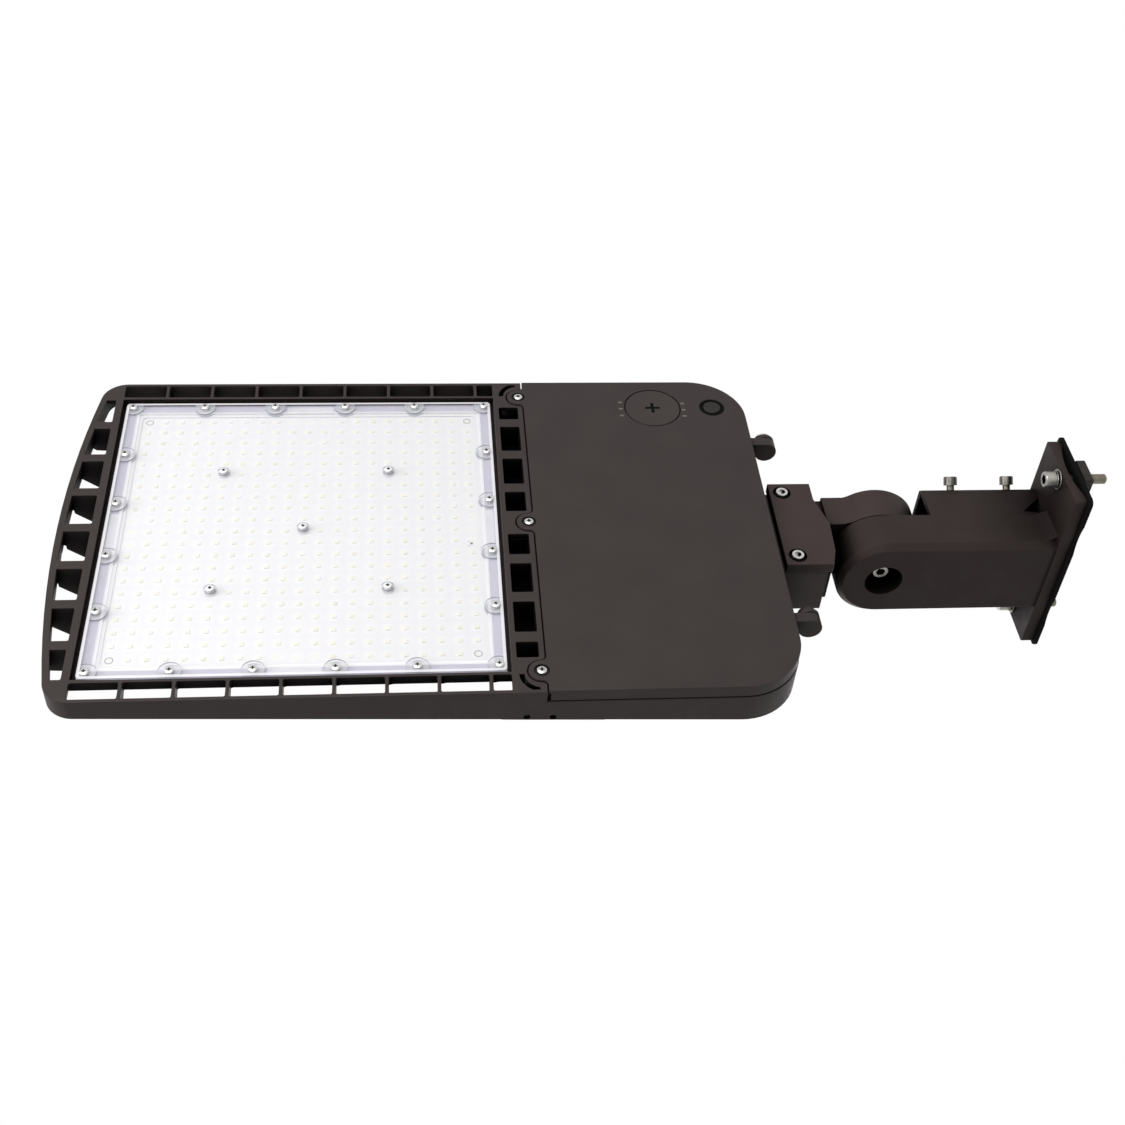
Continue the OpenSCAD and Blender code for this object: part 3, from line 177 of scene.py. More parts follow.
# %% Coats and metals
GRAIN = dict(drift=0.07, patch=26, grain=1500, depth=0.05)
COAT = dict(GRAIN, shade=(40, 2.0, True))
JOINED = dict(GRAIN, shade=(70, 2.0, False))
coat_head = finish("bronze coat of the head", (0.026, 0.0200, 0.0193), 0.50,
                   Specular_IOR_Level=0.15, **COAT)
coat_painted_light = finish("coat with painted light beside the lens", (0.055, 0.0425, 0.041), 0.50,
                  Specular_IOR_Level=0.15, **GRAIN)
coat_arm = finish("bronze coat of the arm", (0.0232, 0.0166, 0.0156), 0.55,
                  Specular_IOR_Level=0.10, **JOINED)
coat_bracket = finish("bronze coat of the bracket", (0.033, 0.0228, 0.0220), 0.52,
                      Specular_IOR_Level=0.11, **JOINED)
coat_door = finish("bronze coat of the door", (0.026, 0.0200, 0.0193), 0.48,
                   Specular_IOR_Level=0.15, **COAT)
coat_cap = finish("bronze plastic of the cap", (0.028, 0.0215, 0.0205), 0.45,
                  Specular_IOR_Level=0.17, **COAT)
stainless = finish("stainless steel", (0.56, 0.55, 0.53), 0.28, drift=0.08, patch=240,
                   grain=4000, depth=0.01, Metallic=1.0)
bright_steel = finish("bright steel", (0.68, 0.67, 0.66), 0.26, drift=0.05, patch=240,
                      grain=4000, depth=0.01, Metallic=1.0)
steel_painted_overlit = finish("overlit steel", (0.62, 0.62, 0.63), 0.34, drift=0.05, patch=240,
                    grain=4000, depth=0.01, Specular_IOR_Level=0.5)
recess_painted_overlit = finish("overlit recess", (0.14, 0.14, 0.15), 0.5, grain=4000, depth=0.01)
rod_steel = finish("dark thread", (0.20, 0.18, 0.14), 0.4, drift=0.15, patch=240,
                   grain=4000, depth=0.01, shade=(5, 1.6, False), Metallic=1.0)
recess = finish("shadowed recess", (0.09, 0.088, 0.085), 0.5, grain=4000, depth=0.01,
                Metallic=0.5)
dull_steel = finish("dull steel", (0.34, 0.325, 0.30), 0.36, drift=0.15, patch=240,
                    grain=4000, depth=0.01, shade=(5, 1.6, False), Metallic=1.0)
dark_steel = finish("greyed steel", (0.10, 0.095, 0.087), 0.36, drift=0.2, patch=240,
                    grain=4000, depth=0.01, shade=(5, 1.6, False), Metallic=1.0)
nut_finish = finish("blackened steel", (0.015, 0.0118, 0.0108), 0.5, drift=0.2, patch=120,
                    grain=2500, depth=0.03, Specular_IOR_Level=0.2)
print("coats and metals made")

# %% [markdown]
# Rubber and silicone are soft and matte. The pole gasket looks torn at its edge in the
# photograph, so its bump is deeper. The plastics inside the bay can't be seen there, and
# their colours are guessed.

# %% Rubber, silicone and plastics
rubber = finish("black rubber", (0.0028, 0.0027, 0.0028), 0.8, drift=0.2, grain=700,
                depth=0.25, Specular_IOR_Level=0.06)
silicone = finish("grey silicone", (0.20, 0.20, 0.22), 0.6, grain=1200, depth=0.03)
lens_seal = finish("lavender silicone", (0.32, 0.305, 0.375), 0.55, drift=0.05, patch=70,
                   grain=1200, depth=0.03)
seat_painted_shade = finish("painted shade of a screw seat", (0.28, 0.28, 0.34), 0.5, drift=0.05, patch=70,
                   grain=1200, depth=0.03)
seal_tab = finish("milky tab of the seal", (0.46, 0.46, 0.49), 0.5, drift=0.05, patch=70,
                  grain=1200, depth=0.03)
seal_edge = finish("edge of the seal", (0.22, 0.22, 0.27), 0.5, drift=0.05, patch=70,
                   grain=1200, depth=0.03)
case_finish = finish("dark driver case", (0.020, 0.020, 0.022), 0.38, grain=3000,
                     Metallic=0.5)
black_plastic = finish("black plastic", (0.016, 0.016, 0.017), 0.45, grain=2000)
white_plastic = finish("white plastic", (0.72, 0.72, 0.70), 0.4, drift=0.03, grain=2000)
blue_plastic = finish("blue plastic", (0.03, 0.07, 0.25), 0.4, grain=2000)
red_wire = finish("red wire", (0.45, 0.02, 0.015), 0.4, grain=2500)
green_wire = finish("green wire", (0.02, 0.20, 0.05), 0.4, grain=2500)
black_wire = finish("black wire", (0.02, 0.02, 0.02), 0.4, grain=2500)
white_wire = finish("white wire", (0.7, 0.7, 0.68), 0.4, grain=2500)
led_body = finish("LED body", (0.61, 0.605, 0.55), 0.4, drift=0.02, grain=3000)
phosphor = finish("LED phosphor", (0.585, 0.555, 0.43), 0.5, drift=0.10, patch=70, grain=3000)
plug_face = finish("paler disc of the plug", (0.0165, 0.0138, 0.0134), 0.6, grain=2000,
                   Specular_IOR_Level=0.15)
tick_print = finish("printed ticks", (0.07, 0.062, 0.052), 0.5, grain=3000)
print_grey = finish("printed grey", (0.22, 0.22, 0.24), 0.5, grain=3000)
print("soft and moulded finishes made")

# %% [markdown]
# The lens is clear plastic. Glass that bends light would need many more samples to let
# light through to the board, and the pane is thin, so it is made see-through with an
# alpha and keeps its gloss. Its lip and the low wall inside its rim are painted milky,
# as light they catch, and steep steps are painted dark, as shade where they bend light away.

# %% Lens finishes
lens_clear = finish("clear lens", (0.80, 0.80, 0.84), 0.12, drift=0.01, grain=600,
                    depth=0.01, Alpha=0.12, Specular_IOR_Level=0.4)
lens_wall = finish("milky lens wall", (0.76, 0.75, 0.77), 0.3, drift=0.02, patch=60,
                   grain=1200, depth=0.02, Alpha=0.6, Specular_IOR_Level=0.4)
lip_step_painted_shade = finish("step inside the lens lip", (0.07, 0.065, 0.07), 0.3, grain=1200,
                  depth=0.02, Alpha=0.8, Specular_IOR_Level=0.2)
pad_step_painted_shade = finish("step round a screw pad", (0.24, 0.24, 0.28), 0.3, grain=1200,
                  depth=0.02, Alpha=0.8, Specular_IOR_Level=0.3)
print("lens finishes made")

# %% [markdown]
# ## Castings with soft edges
#
# A die casting has no sharp edge: the mould needs radii and the powder rounds what is
# left. The CAD solids are exact but sharp, so each is copied, its triangles are merged
# back into faces, and the edges sharper than 30 degrees get a small bevel where there is
# room for it. It is made by an operator, so the result is a plain mesh.


# %% Helpers for pieces
def add_piece(name, shape, body, finishes, stands_for=(), smooth=32):
    """Puts a bmesh into the scene as a piece that rides on a CAD body."""
    mesh = bpy.data.meshes.new(name)
    shape.to_mesh(mesh)
    shape.free()
    mesh.shade_smooth()
    mesh.set_sharp_from_angle(angle=math.radians(smooth))
    made = bpy.data.objects.new(name, mesh)
    bpy.context.scene.collection.objects.link(made)
    for one in finishes:
        mesh.materials.append(one)
    # Large faces keep their own direction, so that only the soft edges shade round.
    flat = made.modifiers.new("flat faces stay flat", "WEIGHTED_NORMAL")
    flat.keep_sharp = True
    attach(made, body)
    if stands_for:
        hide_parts(*stands_for)
    return made


def cad_copy(node, grid=0):
    """The CAD node's mesh with its loose triangles merged into whole faces. A grid in
    millimetres first cuts the mesh along planes, which stay as seams in the faces."""
    shape = bmesh.new()
    shape.from_mesh(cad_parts[node].data)
    bmesh.ops.remove_doubles(shape, verts=shape.verts, dist=0.01 * MM)
    for axis in (0, 1) if grid else ():
        low = min(v.co[axis] for v in shape.verts)
        high = max(v.co[axis] for v in shape.verts)
        for k in range(1, math.ceil((high - low) / (grid * MM))):
            spot = Vector((0, 0, 0))
            spot[axis] = low + k * grid * MM
            cut = bmesh.ops.bisect_plane(
                shape, geom=shape.verts[:] + shape.edges[:] + shape.faces[:], dist=0.002 * MM,
                plane_co=spot, plane_no=[float(axis == n) for n in range(3)])["geom_cut"]
            for edge in cut:
                if isinstance(edge, bmesh.types.BMEdge):
                    edge.seam = True
    bmesh.ops.dissolve_limit(shape, angle_limit=math.radians(0.6), verts=shape.verts,
                             edges=shape.edges, delimit={"SEAM"})
    return shape


def badly_filled(shape):
    """The faces that come apart into triangles that don't add up to the face. A face
    whose outline crosses itself does that, and shows as a dark sheet."""
    filled = {}
    for corners in shape.calc_loop_triangles():
        a, b, c = [corner.vert.co for corner in corners]
        face = corners[0].face
        filled[face] = filled.get(face, 0) + (b - a).cross(c - a).length / 2
    return [face for face, area in filled.items() if len(face.verts) > 6
            and abs(area - face.calc_area()) > 0.01 * area + 0.5 * MM * MM]


def has_room(edge, chosen, width):
    """True if the faces beside an edge have room for its bevel at both of its ends."""
    for vert, face in [(v, f) for v in edge.verts for f in edge.link_faces]:
        other = next(e for e in face.edges if e is not edge and vert in e.verts)
        one = edge.other_vert(vert).co - vert.co
        two = other.other_vert(vert).co - vert.co
        angle = one.angle(two, 0)
        if other in chosen:
            if angle < 2.8 and width / math.tan(max(angle, 0.01) / 2) > 0.45 * one.length:
                return False
        elif width / max(math.sin(angle), 0.01) > 0.8 * two.length:
            return False
    return True


def soften(shape, width, segments=2, sharper_than=30):
    """A copy with a bevel, width in millimetres, on each edge sharper than an angle. An
    edge without room for it, or whose bevel would leave the surface, stays as it is."""
    width *= MM
    surface = BVHTree.FromBMesh(shape)
    chosen = {e for e in shape.edges if len(e.link_faces) == 2 and e.calc_length() > 0.02 * MM
              and e.calc_face_angle(0) > math.radians(sharper_than)}
    crowded = True
    while crowded:
        crowded = {e for e in chosen if not has_room(e, chosen, width)}
        chosen -= crowded
    for attempt in range(8):
        trial = shape.copy()
        trial.edges.ensure_lookup_table()
        shape.edges.index_update()
        bmesh.ops.bevel(trial, geom=[trial.edges[e.index] for e in chosen], offset=width,
                        offset_type="OFFSET", segments=segments, profile=0.5, material=-1,
                        affect="EDGES", clamp_overlap=False)
        stray = {v for v in trial.verts if surface.find_nearest(v.co)[3] > 0.9 * width}
        crossed = [v.co.copy() for f in badly_filled(trial) for v in f.verts]
        if not stray and not crossed:
            shape.free()
            return trial, len(chosen)
        near = {w for v in stray for e in v.link_edges for w in e.verts}
        spots = [v.co.copy() for v in near if v not in stray] or [v.co.copy() for v in stray]
        spots += crossed
        trial.free()
        chosen = {e for e in chosen if not any(
            to_segment(spot, e.verts[0].co, e.verts[1].co) < 2.5 * width for spot in spots)}
    return shape, 0


def to_segment(spot, a, b):
    """Distance from a spot to the line between two others."""
    along = b - a
    share = max(0.0, min(1.0, (spot - a).dot(along) / max(along.length_squared, 1e-12)))
    return (spot - a - along * share).length


# %% Soft-edged copies
# Each row: node, body, slot, finish, bevel in millimetres, segments.
COPIES = [
    ("housing", "head", "bronze_casting", coat_head, 0.5, 2),
    ("driver_door", "door", "bronze_door", coat_door, 0.35, 2),
    ("pole_arm", "arm", "bronze_casting_arm", coat_arm, 0.5, 2),
    ("neck_bracket", "head", "bronze_casting_arm", coat_bracket, 0.7, 2),
    ("selector_cap", "cap", "bronze_cap", coat_cap, 0.5, 2),
    ("pole_gasket", "arm", "black_rubber", rubber, 0.4, 2),
    ("pole_nuts", "arm", "plated_nut_block", nut_finish, 0.6, 2),
    ("knuckle_nut", "head", "stainless", stainless, 0.4, 2),
    ("door_gasket", "door", "grey_silicone", silicone, 0.5, 2),
    ("driver", "head", "driver_case", case_finish, 0.8, 2),
    ("surge_protector", "head", "black_plastic", black_plastic, 0.8, 2),
    ("terminal_block", "head", "white_plastic", white_plastic, 0.4, 2),
    ("selector_switch", "head", "blue_plastic", blue_plastic, 0.3, 2),
    ("cable_grommet", "head", "black_rubber", rubber, 0.3, 2),
    ("cap_seal", "cap", "grey_silicone", silicone, 0, 1),
]
GRIDS = {"housing": 37.3, "pole_arm": 37.3}
# The housing's second finish is painted light, for its wall beside the lens.
SECOND_FINISHES = {"selector_cap": rubber, "housing": coat_painted_light}
LENS_WALL_X = 451
low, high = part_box("selector_cap")
CAP_R = (high.x - low.x) / 2
CAP_AXIS = Vector(((low.x + high.x) / 2, (low.y + high.y) / 2, 0))
CAP_FACE_Z = low.z


def fitted(node, shape):
    """Two copies change a little in size or place before their edges are softened."""
    if node == "selector_cap":
        # The flange is drawn in by 0.4 mm, for a dark ring as wide as in the photograph.
        rim = [v for v in shape.verts if (v.co.xy - CAP_AXIS.xy).length > 0.98 * CAP_R]
        bmesh.ops.scale(shape, vec=(0.983, 0.983, 1), verts=rim,
                        space=Matrix.Translation(-CAP_AXIS))
    if node == "door_gasket":
        # Set 0.05 mm off its seat, because the clash tool named the pair when in touch.
        bmesh.ops.translate(shape, verts=shape.verts, vec=(0, 0, -0.05 * MM))


def takes_second(node, face):
    """True for the cross in the cap, and for the housing's wall on the lens's pole side, which
    gets painted light.
    """
    if node == "selector_cap":
        inside = (face.center.xy - CAP_AXIS.xy).length < 9 * MM
        return inside and 0.2 * MM < face.center.z - CAP_FACE_Z < 3.2 * MM
    beside = abs(face.center.x / MM - LENS_WALL_X) < 6 and abs(face.center.y) < 152 * MM
    return node == "housing" and beside and face.normal.x > 0.7


for node, body, slot, finish_used, width, segments in COPIES:
    shape = cad_copy(node, GRIDS.get(node, 0))
    fitted(node, shape)
    shape, edges = soften(shape, width, segments) if width else (shape, 0)
    bad = len(badly_filled(shape))
    finishes = [finish_used, SECOND_FINISHES.get(node, finish_used)]
    made = add_piece(node + "_cast", shape, body, finishes, [node])
    for f in made.data.polygons:
        f.material_index = int(takes_second(node, f))
    print(node, "edges", edges, "faces", len(made.data.polygons), "badly filled", bad,
          "in the second finish", sum(f.material_index for f in made.data.polygons))

# %% [markdown]
# ## Pan-head screws
#
# Most screws on this light are stainless pan heads with a cross recess. A head is a
# dome over a short wall. The recess is a real pocket: a cross of twelve corners is
# pushed in from the top, and a bridge of faces joins it to the first ring of the dome.


# %% Screw helpers
def ring(shape, radius, height, sides):
    """A loop of edges round the Z axis, in millimetres."""
    made = bmesh.ops.create_circle(shape, cap_ends=False, radius=radius * MM, segments=sides,
                                   matrix=Matrix.Translation((0, 0, height * MM)))
    verts = made["verts"]
    return [e for e in shape.edges if e.verts[0] in verts and e.verts[1] in verts]


def bridge(shape, one, other):
    """Faces between two loops of edges."""
    bmesh.ops.bridge_loops(shape, edges=one + other)


def cap(shape, loop):
    """One face over a loop of edges."""
    bmesh.ops.contextual_create(shape, geom=loop)


def lathe(shape, steps, sides=24, open_top=False, open_bottom=False):
    """Rings of (radius, height) joined one after the other, bottom to top."""
    loops = [ring(shape, r, z, sides) for r, z in steps]
    for one, other in zip(loops, loops[1:]):
        bridge(shape, one, other)
    if not open_bottom:
        cap(shape, loops[0])
    if not open_top:
        cap(shape, loops[-1])
    return loops


def pocket(shape, outline, height, depth, top_loop, shrink=0.75):
    """A recess with a corner outline, joined to the loop round it."""
    verts = [shape.verts.new((x * MM, y * MM, height * MM)) for x, y in outline]
    loop = [shape.edges.new((verts[i], verts[(i + 1) % len(verts)])) for i in range(len(verts))]
    bridge(shape, top_loop, loop)
    made = bmesh.ops.extrude_edge_only(shape, edges=loop)["geom"]
    low = [g for g in made if isinstance(g, bmesh.types.BMVert)]
    bmesh.ops.scale(shape, verts=low, vec=(shrink, shrink, 1))
    bmesh.ops.translate(shape, verts=low, vec=(0, 0, -depth * MM))
    cap(shape, [g for g in made if isinstance(g, bmesh.types.BMEdge)])


def cross_outline(reach, half):
    """Twelve corners of a cross, anticlockwise."""
    one = [(reach, -half), (reach, half), (half, half)]
    spots = []
    for k in range(4):
        c, s = round(math.cos(k * math.pi / 2)), round(math.sin(k * math.pi / 2))
        spots += [(x * c - y * s, x * s + y * c) for x, y in one]
    return spots


def hexagon(flat):
    """Six corners round a hexagon with this width across flats."""
    r = flat / 2 / math.cos(math.pi / 6)
    return [(r * math.cos(k * math.pi / 3), r * math.sin(k * math.pi / 3)) for k in range(6)]


def pan_screw(shape, place, radius=3.8, height=2.6, shank=2.0, length=10.0):
    """A pan head with its underside at place (row frame, mm), facing down."""
    start = len(shape.verts)
    loops = lathe(shape, [(shank * 0.55, -length), (shank, -length + 0.9), (shank, 0),
                          (radius, 0), (radius, height * 0.35), (radius * 0.93, height * 0.72),
                          (radius * 0.72, height * 0.95), (radius * 0.55, height)],
                  open_top=True)
    pocket(shape, cross_outline(radius * 0.46, radius * 0.16), height, height * 0.62, loops[-1])
    # The faces inside the cross take the second finish, which paints shade into the pocket.
    shape.verts.ensure_lookup_table()
    fresh = shape.verts[start:]
    for f in {f for v in fresh for f in v.link_faces}:
        inside = all(v.co.xy.length < radius * 0.5 * MM for v in f.verts)
        if inside and min(v.co.z for v in f.verts) > 0:
            f.material_index = 1
    bmesh.ops.rotate(shape, verts=fresh, matrix=Matrix.Rotation(math.pi, 3, "X"))
    bmesh.ops.translate(shape, verts=fresh, vec=Vector(place) * MM)


def closed(shape):
    """Merges doubles and points every face outwards."""
    bmesh.ops.remove_doubles(shape, verts=shape.verts, dist=0.001 * MM)
    bmesh.ops.recalc_face_normals(shape, faces=shape.faces)
    return shape


# %% Places of the pan heads
LENS_X = 602.0
LENS_Z = -28.7
DOOR_Z = -31.5
EDGE = 144.4
PITCH = 57.5
MIDDLE_PITCH = 65
edge_places = [(s * EDGE, k * PITCH) for s in (-1, 1) for k in (-1.5, -0.5, 0.5, 1.5)]
lens_places = edge_places + [(v, u) for u, v in edge_places]
lens_places += [(s * EDGE, t * EDGE) for s in (-1, 1) for t in (-1, 1)]
middle_places = [(0, 0)]
middle_places += [(s * MIDDLE_PITCH, t * MIDDLE_PITCH) for s in (-1, 1) for t in (-1, 1)]
TAB_X = 428.0
tab_places = [(TAB_X, y) for y in (-153, 0, 153)]

shape = bmesh.new()
for u, v in lens_places:
    pan_screw(shape, (LENS_X + u, v, LENS_Z), radius=3.4, height=2.1, length=10.5)
add_piece("lens_pan_screws", closed(shape), "head", [bright_steel, recess],
          ["lens_screws"])

# The middle screws are painted pale as light, with a lighter painted shade in each cross.
shape = bmesh.new()
for u, v in middle_places:
    pan_screw(shape, (LENS_X + u, v, LENS_Z), radius=3.1, height=1.3, length=12.5)
add_piece("board_pan_screws", closed(shape), "head", [steel_painted_overlit, recess_painted_overlit],
          ["board_screws"])

shape = bmesh.new()
for x, y in tab_places:
    pan_screw(shape, (x, y, DOOR_Z + 1.5), length=13)
add_piece("door_pan_screws", closed(shape), "door",
          [stainless, dull_steel], ["door_screws"])

shape = bmesh.new()
for s in (-1, 1):
    low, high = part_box("driver_screws")
    x = (low.x + high.x) / 2 / MM
    y = high.y / MM - 3.8
    pan_screw(shape, (x, s * y, low.z / MM + 2.6), length=6)
add_piece("driver_pan_screws", closed(shape), "head", [stainless, recess],
          ["driver_screws"])
print("pan heads:", len(lens_places) + len(middle_places) + len(tab_places) + 2)

# %% The plug and the printed ticks of the door
# The plug has a dished groove round a paler disc.
low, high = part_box("port_plug")
PLUG_R = (high.x - low.x) / 2 / MM
shape = bmesh.new()
lathe(shape, [(PLUG_R - 1.1, -6.5), (PLUG_R - 0.6, -6.2), (PLUG_R - 0.6, -5.1),
              (PLUG_R - 1.65, -5.1), (PLUG_R - 1.65, -1.2), (PLUG_R, -1.2), (PLUG_R, -0.3),
              (PLUG_R - 0.3, 0), (PLUG_R - 0.9, 0), (PLUG_R - 1.4, -1), (PLUG_R - 2.6, -1),
              (PLUG_R - 3.1, 0.1), (PLUG_R - 3.5, 0.4), (PLUG_R * 0.2, 0.5)], sides=40)
for f in shape.faces:
    f.material_index = int(f.calc_center_median().xy.length < (PLUG_R - 3) * MM
                           and f.calc_center_median().z > 0)
bmesh.ops.rotate(shape, verts=shape.verts, matrix=Matrix.Rotation(math.pi, 3, "X"))
bmesh.ops.translate(shape, verts=shape.verts, vec=(
    (low.x + high.x) / 2, (low.y + high.y) / 2, DOOR_Z * MM))
add_piece("port_plug_disc", closed(shape), "door", [rubber, plug_face],
          ["port_plug"])

# The marks printed on both sides of the cap can't be read in the photograph. Three
# plain ticks on each side stand in for them.
TICK_ROWS = ((341.8, (145.2, 136.8, 127.8)), (288.5, (143.3, 135.0, 126.8)))
TICK_STEPS = ((1.0, -0.1), (1.0, 0.04), (0.85, 0.08))
TICK_EXTRA = 0.7
shape = bmesh.new()
for x, spots in TICK_ROWS:
    for y in spots:
        loops = []
        for half, z in TICK_STEPS:
            verts = [shape.verts.new(((x + a * (half + TICK_EXTRA)) * MM, (y + b * half) * MM,
                                      (DOOR_Z - z) * MM))
                     for a, b in ((-1, -1), (1, -1), (1, 1), (-1, 1))]
            loops.append([shape.edges.new((verts[i - 1], verts[i])) for i in range(4)])
        bridge(shape, loops[0], loops[1])
        bridge(shape, loops[1], loops[2])
        cap(shape, loops[0])
        cap(shape, loops[2])
add_piece("door_tick_marks", closed(shape), "door", [tick_print])
print("plug and tick marks made")

# %% [markdown]
# ## Socket screws, washers and threads
#
# The bolts are socket heads with a knurled wall and a hexagon pocket. The knurl is the
# wall's own vertices, pulled in on every other rib. Where a thread shows, a ridge is
# spun round the rod while it climbs: spin with dvec makes it, one turn a pitch.


# %% Socket screw helper
def socket_screw(shape, head_r, head_h, rod_r, rod_len, flat, ribs=36, thread=None):
    """A socket screw along +Z with the head's underside at 0 and the rod below."""
    start = len(shape.verts)
    loops = lathe(shape, [(rod_r * 0.75, -rod_len), (rod_r, -rod_len + 1), (rod_r, 0),
                          (head_r, 0), (head_r, head_h * 0.12), (head_r, head_h * 0.88),
                          (head_r * 0.92, head_h), (flat * 0.66, head_h)], sides=ribs,
                  open_top=True)
    pocket(shape, hexagon(flat), head_h, head_h * 0.5, loops[-1], shrink=1.0)
    shape.verts.ensure_lookup_table()
    for v in shape.verts[start:]:
        on_wall = abs(v.co.xy.length - head_r * MM) < 0.01 * MM
        if on_wall and head_h * 0.1 * MM < v.co.z < head_h * 0.9 * MM:
            step = round(math.atan2(v.co.y, v.co.x) / (2 * math.pi / ribs))
            if step % 2:
                v.co.xy *= 0.965
    if thread:
        turns, pitch, low = thread
        spun_thread(shape, rod_r, pitch, turns, low)
    shape.verts.ensure_lookup_table()
    for f in {f for v in shape.verts[start:] for f in v.link_faces}:
        if all(v.co.z < 0.01 * MM and v.co.xy.length < (rod_r + 0.3) * MM for v in f.verts):
            f.material_index = 1
    return shape.verts[start:]


def spun_thread(shape, radius, pitch, turns, low):
    """A ridge that climbs round a rod, from a height, as one closed sweep."""
    spots = [(radius - 0.25, 0), (radius + 0.12, pitch * 0.28), (radius - 0.25, pitch * 0.56)]
    verts = [shape.verts.new((r * MM, 0, (low + z) * MM)) for r, z in spots]
    face = shape.faces.new(verts)
    steps = int(turns * 16)
    geom = [face] + list(face.verts) + list(face.edges)
    bmesh.ops.spin(shape, geom=geom, cent=(0, 0, 0), axis=(0, 0, 1),
                   dvec=(0, 0, turns * pitch * MM / steps), angle=turns * 2 * math.pi,
                   steps=steps, use_merge=False, use_normal_flip=False, use_duplicate=False)


def place(shape, verts, at, along):
    """Moves what was made along +Z so that it points along a direction from a point."""
    turned = Vector((0, 0, 1)).rotation_difference(Vector(along)).to_matrix()
    bmesh.ops.rotate(shape, verts=verts, matrix=turned)
    bmesh.ops.translate(shape, verts=verts, vec=Vector(at) * MM)


def washer(shape, outer, inner, thick, at, along, split=False):
    """A flat washer, or a spring washer with a slanted split."""
    start = len(shape.verts)
    edge = min(0.2, thick * 0.2)
    spots = [(inner, 0), (outer - edge, 0), (outer, edge), (outer, thick - edge),
             (outer - edge, thick), (inner, thick)]
    verts = [shape.verts.new((r * MM, 0, z * MM)) for r, z in spots]
    face = shape.faces.new(verts)
    geom = [face] + list(face.verts) + list(face.edges)
    full = not split
    climb = 0.4 / 36 * MM if split else 0
    bmesh.ops.spin(shape, geom=geom, cent=(0, 0, 0), axis=(0, 0, 1), dvec=(0, 0, climb),
                   angle=math.radians(352 if split else 360), steps=36, use_merge=full,
                   use_normal_flip=False, use_duplicate=False)
    shape.verts.ensure_lookup_table()
    place(shape, shape.verts[start:], at, along)


# %% Pole bolts with their washers
# Head radius and height of each socket screw, and the width of its hexagon.
M8_HEAD = (6.5, 8)
ARM_HEAD = (5.4, 7)
BRACKET_HEAD = (5, 5)
M8_HEX = 6.8
M6_HEX = 5
BOLT_Z = 70.3
PLATE_FRONT = 13.0
shape = bmesh.new()
for s in (-1, 1):
    verts = socket_screw(shape, *M8_HEAD, 3.9, 42, M8_HEX, thread=(13, 1.25, -41.3))
    place(shape, verts, (PLATE_FRONT + 3.7, 0, s * BOLT_Z), (1, 0, 0))
add_piece("pole_socket_bolts", closed(shape), "arm", [dull_steel, rod_steel],
          ["pole_bolts"])

shape = bmesh.new()
for s in (-1, 1):
    washer(shape, 8.2, 4.2, 1.2, (PLATE_FRONT, 0, s * BOLT_Z), (1, 0, 0))
add_piece("pole_washer_rings", closed(shape), "arm", [dull_steel],
          ["pole_flat_washers"])

shape = bmesh.new()
for s in (-1, 1):
    washer(shape, 7.0, 4.2, 1.0, (PLATE_FRONT + 1.75, 0, s * BOLT_Z), (1, 0, 0), split=True)
add_piece("pole_spring_rings", closed(shape), "arm", [dull_steel],
          ["pole_spring_washers"])

# %% Screws of the arm, the bracket and the knuckle
# The arm's screws stand square on its far lower chamfer, on a bare neck.
SLANT = Vector((0, math.sqrt(0.5), -math.sqrt(0.5)))
NECK = 4
shape = bmesh.new()
for x in (35, 82):
    verts = socket_screw(shape, *ARM_HEAD, 3, 15, M6_HEX, ribs=30, thread=(4, 1.0, -4.4))
    place(shape, verts, Vector((x, 32.55, -29.85)) + SLANT * NECK, SLANT)
add_piece("arm_socket_screws", closed(shape), "arm", [dark_steel, rod_steel],
          ["arm_screws"])

low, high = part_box("bracket_screws")
shape = bmesh.new()
radius, height = BRACKET_HEAD
for y in (low.y / MM + radius, high.y / MM - radius):
    length = (high.z - low.z) / MM - height
    verts = socket_screw(shape, radius, height, 3, length, M6_HEX, ribs=30)
    place(shape, verts, ((low.x + high.x) / 2 / MM, y, low.z / MM + height), (0, 0, -1))
add_piece("bracket_socket_screws", closed(shape), "head", [stainless, rod_steel],
          ["bracket_screws"])

low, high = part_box("knuckle_bolt")
KNUCKLE = ((low.x + high.x) / 2 / MM, (low.z + high.z) / 2 / MM)
shape = bmesh.new()
verts = socket_screw(shape, *M8_HEAD, 4, (high.y - low.y) / MM - M8_HEAD[1], M8_HEX)
place(shape, verts, (KNUCKLE[0], low.y / MM + M8_HEAD[1], KNUCKLE[1]), (0, -1, 0))
add_piece("knuckle_socket_bolt", closed(shape), "head", [dull_steel, rod_steel],
          ["knuckle_bolt"])

low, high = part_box("knuckle_washer")
shape = bmesh.new()
washer(shape, 8.2, 4.2, 1.6, (KNUCKLE[0], high.y / MM, KNUCKLE[1]), (0, -1, 0))
add_piece("knuckle_washer_ring", closed(shape), "head", [dull_steel],
          ["knuckle_washer"])

# Both pins have a domed head. The near head takes the bracket's coat and the far one
# is bare steel.
HINGE_Y = 100
shape = bmesh.new()
low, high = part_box("hinge_pins")
for y in (-HINGE_Y, HINGE_Y):
    start = len(shape.verts)
    foot = low.y / MM + HINGE_Y
    lathe(shape, [(2.2, foot), (2.5, foot + 0.4), (2.5, 4), (6.9, 4),
                  (7.2, 4.3), (7.2, 6.4), (6.7, 7.8), (5.2, 9.1), (2.9, 9.8), (1.2, 10)],
          sides=36)
    shape.verts.ensure_lookup_table()
    place(shape, shape.verts[start:],
          ((low.x + high.x) / 2 / MM, y, (low.z + high.z) / 2 / MM), (0, 1, 0))
for f in shape.faces:
    f.material_index = 1 if f.calc_center_median().y < 0 else 0
add_piece("hinge_domed_pins", closed(shape), "head", [stainless, coat_bracket],
          ["hinge_pins"])
print("bolts, washers, socket screws and hinge pins made")

